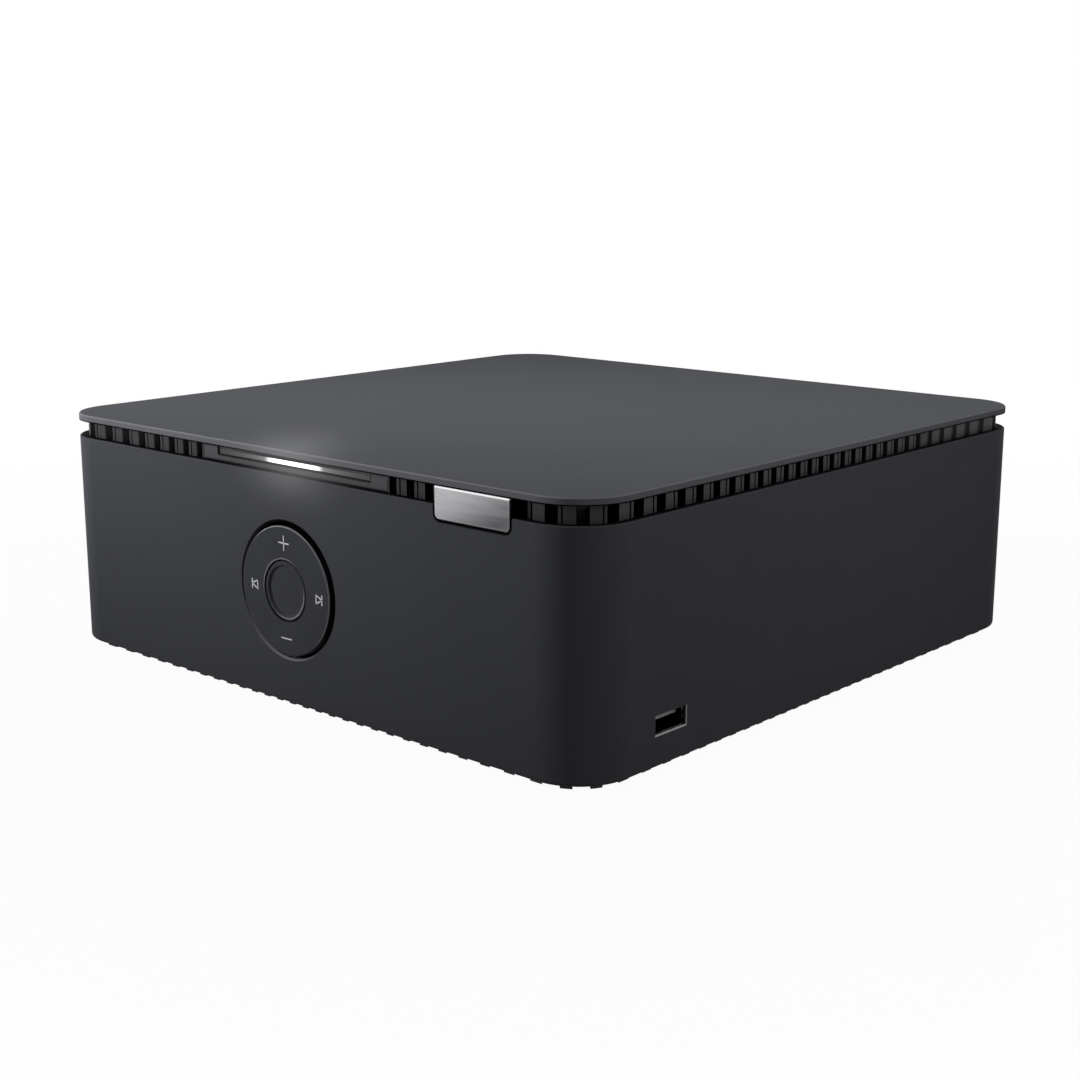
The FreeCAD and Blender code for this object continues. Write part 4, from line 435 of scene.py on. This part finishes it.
    def mix(self, factor, first, second):
        """Colour between two colours."""
        node = self.tree.nodes.new("ShaderNodeMix")
        node.data_type = "RGBA"
        for socket, value in zip(COLOUR_MIX_INPUTS, (factor, as_colour(first), as_colour(second))):
            self.fill(node.inputs[socket], value)
        return node.outputs[COLOUR_MIX_RESULT]

    def clouds(self, dark, light, scale=CLOUDS, detail=3.0):
        """Colour that wanders softly between two colours."""
        return self.mix(self.uneven(scale, detail), dark, light)

    def sheen(self, low, high):
        """Roughness of a moulding, in soft patches from low to high."""
        return self.uneven(PATCHES, 4.0, low, high)

    def edges(self, radius, share=1.0):
        """Mask of the outer edges up to share, broken up a little as wear is; it carries worn edges and
        painted edge highlights.
        """
        bevel = self.add("ShaderNodeBevel", Radius=radius)
        bevel.samples = BEVEL_SAMPLES
        geometry = self.add("ShaderNodeNewGeometry")
        alike = self.vector("DOT_PRODUCT", bevel.outputs[0], geometry.outputs["Normal"])
        mask = self.ramp(self.math("SUBTRACT", 1.0, alike), *WEAR_AND_HIGHLIGHT_TURN, 0.0, share)
        return self.product(mask, self.ramp(self.noise(WEAR_AND_HIGHLIGHT_SCALE, 3.0), *WEAR_AND_HIGHLIGHT_SPREAD, WEAR_AND_HIGHLIGHT_LEAST, 1.0))

    def bump(self, height, depth):
        """Adds relief of the given depth, on top of what is there."""
        node = self.add("ShaderNodeBump", Height=height, Distance=depth)
        if self.normal is not None:
            self.tree.links.new(self.normal, node.inputs["Normal"])
        self.normal = node.outputs[0]

    def bell(self, value, centre, width):
        """Exponent of a bell curve: half the squared distance from centre in widths."""
        offset = self.math("DIVIDE", self.math("SUBTRACT", value, centre), width)
        return self.product(self.product(offset, offset), 0.5)

    def shine(self, strength):
        """White light of the surface itself."""
        self.shader.inputs["Emission Color"].default_value = (1.0, 1.0, 1.0, 1.0)
        self.fill(self.shader.inputs["Emission Strength"], strength)

    def halo(self, exponent, strength):
        """Faint light near the light bar, which fades with the given exponent."""
        self.shine(self.product(self.math("EXPONENT", self.product(exponent, -1.0)), strength))

    def front_halo(self):
        """Halo of the light bar on the front of the body."""
        across = self.bell(self.axis("X"), HALO_MIDDLE, HALO_WIDTH)
        down = self.bell(self.axis("Z"), HALO_HEIGHT, HALO_DROP)
        back = self.bell(self.axis("Y"), -BODY_HALF, HALO_WIDTH)
        self.halo(self.total(self.total(across, down), back), FRONT_HALO)

    def done(self, colour, roughness, metallic=0.0, specular=0.5):
        """Connects colour, roughness and relief to the shader."""
        self.fill(self.shader.inputs["Base Color"], as_colour(colour))
        self.fill(self.shader.inputs["Roughness"], roughness)
        self.shader.inputs["Metallic"].default_value = metallic
        self.shader.inputs["Specular IOR Level"].default_value = specular
        if self.normal is not None:
            self.tree.links.new(self.normal, self.shader.inputs["Normal"])
        return self.material


def as_colour(value):
    """Four channels from a 0 to 255 screen colour, or a socket as it is."""
    if isinstance(value, bpy.types.NodeSocket):
        return value
    channels = []
    for channel in value:
        share = channel / 255.0
        linear = share / 12.92 if share <= 0.04045 else ((share + 0.055) / 1.055) ** 2.4
        channels.append(linear)
    return (*channels, 1.0)


def scaled(colour, factor):
    """A lighter or darker version of a screen colour."""
    return tuple(min(255.0, channel * factor) for channel in colour)


# Materials of the outside


def coated_metal(name, colour, edge_highlight):
    """Satin coating on metal: fine grain, faint clouds and slightly polished edges, which are also painted
    lighter as a highlight.
    """
    graph = Graph(name)
    base = graph.clouds(scaled(colour, 0.99), scaled(colour, 1.01), scale=70.0, detail=4.0)
    base = graph.mix(graph.uneven(5200.0, 1.0, high=0.35), base, scaled(colour, 1.06))
    # Edges are polished (less rough) and painted lighter as a highlight
    edge = graph.edges(COATED_EDGE)
    base = graph.mix(graph.product(edge, 0.7), base, edge_highlight)
    roughness = graph.uneven(140.0, 4.0, low=0.76, high=0.82)
    roughness = graph.math("SUBTRACT", roughness, graph.product(edge, 0.1))
    graph.bump(graph.noise(4200.0), depth=0.006 * MM)
    return graph, base, roughness


def lid_material():
    """Coated plate with a painted highlight on its top chamfer, painted shade along its lower edge and the
    halo of the light bar, longest towards the far left.
    """
    graph, base, roughness = coated_metal("lid_coating", LID, LID_EDGE_HIGHLIGHT)
    # Painted highlight on the chamfer faces that face upwards
    faces = graph.add("ShaderNodeNewGeometry").outputs["True Normal"]
    base = graph.mix(graph.close(graph.axis("Z", faces), *CHAMFER_HIGHLIGHT_RISE), base, LID_EDGE_HIGHLIGHT)
    # Painted shade along the lid's lower edge
    base = graph.mix(graph.within(graph.past("Z", LID_UNDERSIDE), *LID_SHADE), base, PAINTED_SHADE)
    light = (HALO_MIDDLE, -BODY_HALF, 0.0)
    turned = graph.add("ShaderNodeVectorRotate", Vector=graph.place, Center=light, Angle=-HALO_TURN)
    turned.rotation_type = "Z_AXIS"
    across = graph.bell(graph.axis("X", turned.outputs[0]), HALO_MIDDLE, HALO_LID_WIDTH)
    along = graph.larger(graph.total(graph.axis("Y", turned.outputs[0]), BODY_HALF), 0.0)
    graph.halo(graph.total(across, graph.bell(along, -HALO_LID_START, HALO_LID_REACH)), LID_HALO)
    return graph.done(base, roughness, specular=0.0)


def shell_material():
    """Coated sleeve with painted shade that turns it black in its openings and in the gap round the badge,
    painted highlight and shade lines round the dial well and a painted highlight on the front port's cut
    edges.
    """
    graph, base, roughness = coated_metal("shell_coating", SHELL, SHELL_EDGE_HIGHLIGHT)
    # Painted shade inside the openings and in the gap round the badge
    depth = graph.inboard()
    badge_gap_shade = graph.within(graph.round_badge(), *BADGE_GAP_SHADE)
    base = graph.mix(graph.larger(graph.after(depth, *WALL_SHADE), badge_gap_shade), base, PAINTED_SHADE)
    # Painted highlight and shade lines round the dial well
    base = with_painted_dial_lines(graph, base, WELL_HIGHLIGHT_AND_SHADE)
    # Painted highlight on the front port's cut edges
    base = graph.mix(port_highlight_mask(graph, depth), base, PORT_EDGE_HIGHLIGHT)
    graph.front_halo()
    return graph.done(base, roughness, specular=0.05)


def with_painted_dial_lines(graph, base, lines):
    """Base colour with the given painted highlight and painted shade lines round the dial's centre."""
    low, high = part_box("dial_ring")
    middle = (low.z + high.z) / 2
    front = graph.ramp(graph.axis("Y"), 0.0, -DIAL_FULL)
    for radius, reach, colour, towards, start in lines:
        half = (radius, radius, radius)
        line = graph.close(graph.beyond((0.0, 0.0, middle), half, radius, FROM_FRONT), 0.0, reach)
        lean = graph.total(graph.product(graph.axis("X"), towards[0]),
                           graph.product(graph.past("Z", middle), towards[1]))
        side = graph.ramp(lean, start * radius, (start + LINE_GROWTH) * radius, smooth=True)
        base = graph.mix(graph.product(graph.product(line, side), front), base, colour)
    return base


def port_highlight_mask(graph, depth):
    """Mask of a painted highlight on the cut edges below and behind the front port."""
    along = graph.axis("Y")
    height = graph.axis("Z")
    sill = graph.close(height, PORT_MIDDLE[1] - PORT_HALF[1], PORT_SILL_LINE)
    sill = graph.product(sill, graph.close(along, PORT_MIDDLE[0], PORT_HALF[0]))
    sill = graph.product(sill, graph.within(depth, *PORT_SILL_DEPTH))
    end = graph.close(along, PORT_MIDDLE[0] + PORT_HALF[0], PORT_END_LINE)
    end = graph.product(end, graph.close(height, PORT_MIDDLE[1], PORT_HALF[1]))
    end = graph.product(end, graph.within(depth, *PORT_END_DEPTH))
    right = graph.ramp(graph.axis("X"), WALL_GONE, WALL_FULL)
    return graph.product(graph.larger(sill, end), right)


def dial_material():
    """Satin plastic of the ring and the button, polished on the edges that hands touch; those edges are also
    painted lighter as a highlight, and painted highlight and shade lines run round the dial's centre.
    """
    graph = Graph("dial_plastic")
    base = graph.clouds((53, 54, 58), (57, 58, 62))
    # Edges lighter: wear, and a painted highlight
    base = graph.mix(graph.edges(MOULDED_EDGE, share=0.8), base, (84, 85, 89))
    base = with_painted_dial_lines(graph, base, DIAL_HIGHLIGHT_AND_SHADE)
    graph.bump(graph.cells(4200.0), depth=0.008 * MM)
    return graph.done(base, graph.sheen(0.57, 0.68), specular=0.06)


def vent_material():
    """Satin moulded posts with painted highlights on their edges, and painted shade that fades to black
    between them and behind the badge.
    """
    graph = Graph("vent_plastic")
    post = graph.clouds((43, 43, 45), (49, 49, 51))
    # Painted highlight on the posts' edges
    post = graph.mix(graph.edges(MOULDED_EDGE, share=0.6), post, (92, 92, 95))
    # Painted shade: black between the posts and behind the badge
    slot_shade = graph.larger(graph.after(graph.inboard(), *VENT_SLOT_SHADE),
                          graph.within(graph.round_badge(), *BADGE_BACK_SHADE))
    graph.bump(graph.cells(SPARK_CELLS), SPARK_DEPTH)
    graph.front_halo()
    return graph.done(graph.mix(slot_shade, post, PAINTED_SHADE), graph.sheen(0.45, 0.55), specular=0.2)


def panel_material():
    """Satin moulded panel in front of the light board, with painted shade along its foot, under the lid and
    in a line round its slot.
    """
    graph = Graph("light_panel_plastic")
    base = graph.clouds((61, 61, 64), (66, 66, 69))
    low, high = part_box("light_panel")
    # Painted shade along the foot, under the lid and round the slot
    dark = graph.larger(graph.within(graph.past("Z", low.z), *PANEL_FOOT_SHADE),
                        graph.within(graph.short_of("Z", high.z), *PANEL_SHADE))
    guide_low, guide_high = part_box("light_guide")
    middle = (guide_low.z + guide_high.z) / 2
    half = (guide_high.x, SLOT_CORNER, guide_high.z - middle)
    round_slot = graph.beyond((0.0, 0.0, middle), half, SLOT_CORNER, FROM_FRONT)
    dark = graph.larger(dark, graph.close(round_slot, SLOT_SHADE_LINE, SLOT_SHADE_LINE))
    graph.bump(graph.cells(SPARK_CELLS), SPARK_DEPTH)
    graph.front_halo()
    return graph.done(graph.mix(dark, base, PAINTED_SHADE), graph.sheen(0.42, 0.5), specular=0.2)


def badge_material():
    """Brushed bare aluminium with a painted reflection that is pale at the upper left, a painted highlight
    on its top edge, worn edges that are also painted lighter as a highlight, and painted shade on its stem.
    """
    graph = Graph("badge_metal")
    lines = graph.noise(1400.0, 4.0, graph.stretched(BRUSHED_LINES))
    fine = graph.noise(5200.0, 2.0, graph.stretched(BRUSHED_HAIRS))
    low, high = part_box("badge_plate")
    # Painted reflection: pale at the upper left, darker to the lower right
    across = graph.ramp(graph.axis("X"), low.x, high.x, 0.0, 0.6)
    down = graph.ramp(graph.axis("Z"), high.z, low.z, 0.0, 0.4)
    painted_reflection = graph.ramp(graph.total(across, down), 0.1, 0.9, smooth=True)
    base = graph.mix(painted_reflection, (180, 180, 183), (84, 84, 88))
    base = graph.mix(graph.ramp(lines, *NOISE_SPREAD, 0.0, 0.12), base, (226, 226, 228))
    # Edges: worn, and painted lighter as a highlight
    edge = graph.edges(MOULDED_EDGE)
    base = graph.mix(edge, base, (200, 200, 202))
    # Painted highlight along the top edge
    base = graph.mix(graph.within(graph.short_of("Z", high.z), *BADGE_TOP_HIGHLIGHT), base, (252, 252, 253))
    # Painted shade on the stem behind the plate
    base = graph.mix(graph.after(graph.past("Y", low.y), *BADGE_STEM_SHADE), base, PAINTED_SHADE)
    roughness = graph.ramp(fine, *NOISE_SPREAD, 0.3, 0.44)
    roughness = graph.math("SUBTRACT", roughness, graph.product(edge, 0.12))
    graph.bump(lines, depth=0.006 * MM)
    graph.bump(fine, depth=0.004 * MM)
    return graph.done(base, roughness, metallic=1.0)


def light_material():
    """Frosted bar that glows in its middle and fades towards its ends."""
    graph = Graph("light_bar")
    distance = graph.away(graph.axis("X"), LIGHT_MIDDLE)
    core = graph.product(graph.within(distance, *LIGHT_CORE, smooth=True), LIGHT_CORE_STRENGTH)
    tail = graph.math("EXPONENT", graph.math("DIVIDE", distance, -LIGHT_TAIL))
    strength = graph.product(graph.total(core, tail), graph.uneven(700.0, low=0.95, high=1.05))
    low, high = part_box("light_guide")
    lit = graph.product(graph.after(graph.short_of("Z", high.z), *GUIDE_SHADE),
                        graph.after(graph.past("Z", low.z), *GUIDE_RIM))
    graph.shine(graph.product(strength, lit))
    graph.bump(graph.noise(2400.0), depth=0.01 * MM)
    base = graph.clouds((20, 20, 21), (26, 26, 27), scale=90.0, detail=2.0)
    return graph.done(base, graph.uneven(500.0, low=0.35, high=0.45))


def port_material():
    """Nickel shell of the front port, bright at its mouth, with painted shade that makes it near black
    inside.
    """
    graph = Graph("port_nickel")
    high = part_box("usb_shell")[1]
    # Painted shade: near black behind the mouth
    mouth = graph.within(graph.short_of("X", high.x), *PORT_MOUTH)
    base = graph.mix(mouth, (7, 7, 8), graph.clouds((186, 184, 178), (204, 202, 196), scale=120.0))
    graph.bump(graph.noise(1800.0), depth=0.004 * MM)
    return graph.done(base, graph.uneven(700.0, low=0.24, high=0.36), metallic=1.0)


def rubber_material():
    """Matt rubber with a pebbled face."""
    graph = Graph("foot_rubber")
    graph.bump(graph.cells(1500.0), depth=0.05 * MM)
    base = graph.clouds((24, 24, 25), (36, 36, 37), scale=200.0)
    return graph.done(base, graph.uneven(300.0, low=0.75, high=0.88), specular=0.25)


# Materials of the back and the inside


def moulded(name, colour, roughness, specular, grain):
    """Moulded plastic with a fine spark-eroded texture and slightly worn edges."""
    graph = Graph(name)
    base = graph.clouds(scaled(colour, 0.95), scaled(colour, 1.05))
    base = graph.mix(graph.edges(MOULDED_EDGE, share=0.35), base, scaled(colour, 1.5))
    scale, depth = grain
    graph.bump(graph.cells(scale), depth)
    graph.bump(graph.noise(scale * 2.0), depth * 0.4)
    return graph.done(base, graph.sheen(roughness - 0.05, roughness + 0.06), specular=specular)


def plated(name, colour, roughness, stretch):
    """Plated metal with fine directional scratches and duller patches."""
    graph = Graph(name)
    lines = graph.noise(900.0, 3.0, graph.stretched(stretch))
    base = graph.clouds(scaled(colour, 0.93), scaled(colour, 1.03), scale=120.0)
    base = graph.mix(graph.edges(PLATED_EDGE, share=0.4), base, scaled(colour, 1.15))
    graph.bump(lines, depth=0.004 * MM)
    roughness = graph.ramp(lines, *NOISE_SPREAD, roughness - 0.06, roughness + 0.1)
    return graph.done(base, roughness, metallic=1.0)


def board_material():
    """Solder mask with faint tracks, pale solder points and a fine glass weave."""
    graph = Graph("board_mask")
    brick = graph.add("ShaderNodeTexBrick", Vector=graph.place, Scale=160.0, Mortar_Size=0.05)
    tracks = brick.outputs["Fac"]
    base = graph.mix(graph.product(tracks, 0.5), (24, 62, 44), (44, 96, 66))
    base = graph.mix(graph.ramp(graph.cells(300.0), 0.05, 0.08, 1.0, 0.0), base, (176, 168, 140))
    graph.bump(tracks, depth=0.02 * MM)
    graph.bump(graph.noise(3000.0), depth=0.008 * MM)
    return graph.done(base, graph.uneven(400.0, 3.0, low=0.3, high=0.42))


def phono_insert_material():
    """Coloured insulators: red on one column, white on the other."""
    graph = Graph("phono_plastic")
    low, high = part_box("phono_inserts")
    middle = (low.x + high.x) / 2
    right = graph.ramp(graph.axis("X"), middle - COLUMN_FADE, middle + COLUMN_FADE)
    base = graph.mix(right, (214, 212, 206), (160, 22, 20))
    base = graph.mix(graph.uneven(300.0, high=0.2), base, (120, 110, 104))
    graph.bump(graph.noise(2200.0), depth=0.01 * MM)
    return graph.done(base, graph.uneven(260.0, low=0.3, high=0.42))


def lan_material():
    """Black socket body with gold contact springs along the top of its opening."""
    graph = Graph("network_socket")
    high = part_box("lan_socket")[1]
    springs = graph.product(graph.within(graph.short_of("Z", high.z), *SPRING_HEIGHT),
                            graph.after(graph.short_of("Y", high.y), *SPRING_DEPTH))
    base = graph.mix(springs, (30, 30, 31), (206, 166, 92))
    base = graph.mix(graph.uneven(300.0, high=0.15), base, (40, 40, 41))
    graph.bump(graph.noise(2400.0), depth=0.01 * MM)
    return graph.done(base, graph.uneven(260.0, low=0.38, high=0.5))


def transformer_material():
    """Dark ferrite halves round a bobbin wound with yellow tape."""
    graph = Graph("transformer")
    low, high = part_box("power_transformer")
    reach = graph.away(graph.axis("Y"), (low.y + high.y) / 2)
    layers = graph.ramp(graph.noise(900.0, 2.0, graph.stretched(TAPE_LAYERS)), *NOISE_SPREAD)
    tape = graph.mix(layers, (176, 140, 40), (208, 170, 58))
    ferrite = graph.clouds((38, 38, 40), (52, 52, 54), scale=400.0)
    graph.bump(graph.noise(1600.0), depth=0.03 * MM)
    base = graph.mix(graph.after(reach, *TAPE_START), ferrite, tape)
    return graph.done(base, graph.uneven(200.0, low=0.5, high=0.65))


def assign(material, *names):
    """Puts one material on CAD nodes."""
    for name in names:
        mesh = nodes[name].data
        mesh.materials.clear()
        mesh.materials.append(material)


# Mouldings and platings

# Grain of a moulding: cells per metre and depth
SPARKED = (SPARK_CELLS, SPARK_DEPTH)
FINE = (3400.0, 0.01 * MM)
POLISHED = (3000.0, 0.008 * MM)

# Colour, roughness, specular level, grain and nodes
MOULDINGS = {
    "black_plastic": ((36, 36, 38), 0.5, 0.3, SPARKED,
                      ("connector_bay", "mains_inlet", "switch_housing", "phono_block", "optical_socket")),
    "base_plastic": ((24, 24, 25), 0.55, 0.2, SPARKED, ("base_plate",)),
    "housing_plastic": ((10, 10, 11), 0.6, 0.1, SPARKED, ("dial_housing",)),
    "button_plastic": ((46, 46, 48), 0.36, 0.4, FINE, ("power_rocker", "pairing_button", "optical_shutter")),
    "post_black": ((30, 30, 32), 0.28, 0.5, POLISHED,
                   ("terminal_bushings", "terminal_cap_2", "terminal_cap_4")),
    "post_red": ((150, 20, 18), 0.28, 0.5, POLISHED, ("terminal_cap_1", "terminal_cap_3")),
    "pale_plastic": ((196, 194, 186), 0.42, 0.4, SPARKED, ("dial_carrier", "antenna_strip")),
    "tongue_plastic": ((136, 136, 139), 0.4, 0.3, SPARKED, ("usb_tongue", "hdmi_tongue")),
    "chip_resin": ((26, 26, 27), 0.55, 0.3, SPARKED, ("amplifier_chips",)),
    "choke_shield": ((40, 40, 41), 0.6, 0.25, SPARKED, ("output_chokes",)),
    "capacitor_sleeve": ((28, 30, 44), 0.3, 0.5, SPARKED, ("bulk_capacitors",)),
    "wire_sleeve": ((34, 34, 35), 0.4, 0.4, SPARKED, ("speaker_wires", "power_wires", "signal_cables")),
}

# Colour, roughness, stretch of the scratches and nodes
EVEN = (1.0, 1.0, 1.0)
PLATINGS = {
    "gold_plate": ((222, 178, 92), 0.2, EVEN, ("terminal_studs", "terminal_nuts", "phono_sleeves")),
    "nickel_plate": ((190, 187, 180), 0.24, EVEN,
                     ("hdmi_shell", "mains_pins", "snap_domes", "wireless_module", "terminal_washer_1",
                      "terminal_washer_2", "terminal_washer_3", "terminal_washer_4")),
    "zinc_steel": ((168, 168, 164), 0.34, EVEN,
                   ("lid_clips", "frame_screws", "dial_screws", "base_screws", "board_screws")),
    "black_anodised": ((44, 44, 46), 0.45, (1.0, 0.05, 1.0), ("heatsink",)),
}


def dress_nodes():
    """Gives every CAD node its material."""
    assign(lid_material(), "top_lid")
    assign(shell_material(), "enclosure_shell")
    assign(vent_material(), "vent_frame")
    assign(panel_material(), "light_panel")
    assign(light_material(), "light_guide")
    assign(badge_material(), "badge_plate")
    assign(dial_material(), "dial_ring", "centre_button")
    assign(port_material(), "usb_shell")
    assign(rubber_material(), "rubber_feet")
    assign(lan_material(), "lan_socket")
    assign(phono_insert_material(), "phono_inserts")
    assign(transformer_material(), "power_transformer")
    assign(board_material(), "led_board", "control_board", "usb_board", "main_board", "power_board")
    for name, (colour, roughness, specular, grain, names) in MOULDINGS.items():
        assign(moulded(name, colour, roughness, specular, grain), *names)
    for name, (colour, roughness, stretch, names) in PLATINGS.items():
        assign(plated(name, colour, roughness, stretch), *names)


# Printed marks

MARK_LIFT = 0.02 * MM
MARK_RADIUS = 13.8 * MM
STROKE = 0.38 * MM
PLUS_REACH = 2.0 * MM
MINUS_REACH = 2.1 * MM
BACK_PLACE = -13.2 * MM
NEXT_PLACE = 14.4 * MM
SKIP_WIDTH = 2.4 * MM
SKIP_HEIGHT = 2.6 * MM


def print_material():
    """Pale grey printing ink."""
    graph = Graph("print_ink")
    graph.bump(graph.noise(5000.0), depth=0.003 * MM)
    base = graph.clouds((188, 189, 192), (206, 207, 210), scale=900.0, detail=2.0)
    return graph.done(base, graph.uneven(700.0, low=0.45, high=0.55))


def stroke_mesh(name, lines, y_face, width):
    """Flat strokes just in front of a face that looks along -Y. Points are x and z."""
    build = bmesh.new()
    for start, end in lines:
        start = Vector((start[0], 0.0, start[1]))
        end = Vector((end[0], 0.0, end[1]))
        along = (end - start).normalized()
        side = Vector((along.z, 0.0, -along.x)) * width / 2
        extra = along * width / 2
        corners = [start - extra + side, end + extra + side, end + extra - side, start - extra - side]
        front = [build.verts.new((corner.x, y_face - MARK_LIFT, corner.z)) for corner in corners]
        back = [build.verts.new((corner.x, y_face + MARK_LIFT, corner.z)) for corner in corners]
        build.faces.new(front)
        build.faces.new(list(reversed(back)))
        for index in range(len(corners)):
            following = (index + 1) % len(corners)
            build.faces.new((front[index], back[index], back[following], front[following]))
    bmesh.ops.recalc_face_normals(build, faces=build.faces)
    mesh = bpy.data.meshes.new(name)
    build.to_mesh(mesh)
    build.free()
    piece = bpy.data.objects.new(name, mesh)
    bpy.context.scene.collection.objects.link(piece)
    return piece


def skip_lines(centre_x, centre_z, direction):
    """Triangle and bar of a skip mark; direction is 1 to the right and -1 to the left."""
    left = centre_x - direction * SKIP_WIDTH / 2
    tip = centre_x + direction * SKIP_WIDTH / 2
    half = SKIP_HEIGHT / 2
    return [
        ((left, centre_z - half), (left, centre_z + half)),
        ((left, centre_z + half), (tip, centre_z)),
        ((tip, centre_z), (left, centre_z - half)),
        ((tip, centre_z - half), (tip, centre_z + half)),
    ]


def add_dial_marks():
    """Plus, minus, back and next marks on the ring pad."""
    low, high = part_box("dial_ring")
    middle = (low.z + high.z) / 2
    top = middle + MARK_RADIUS
    bottom = middle - MARK_RADIUS
    marks = {
        "mark_plus": [((-PLUS_REACH, top), (PLUS_REACH, top)),
                      ((0.0, top - PLUS_REACH), (0.0, top + PLUS_REACH))],
        "mark_minus": [((-MINUS_REACH, bottom), (MINUS_REACH, bottom))],
        "mark_back": skip_lines(BACK_PLACE, middle, -1),
        "mark_next": skip_lines(NEXT_PLACE, middle, 1),
    }
    ink = print_material()
    for name, lines in marks.items():
        piece = stroke_mesh(name, lines, low.y, STROKE)
        piece.data.materials.append(ink)
        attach(piece, "dial_ring")


bpy.context.scene.view_settings.view_transform = "Standard"
add_camera()
add_world()
add_floor()
add_lamps()
dress_nodes()
add_dial_marks()
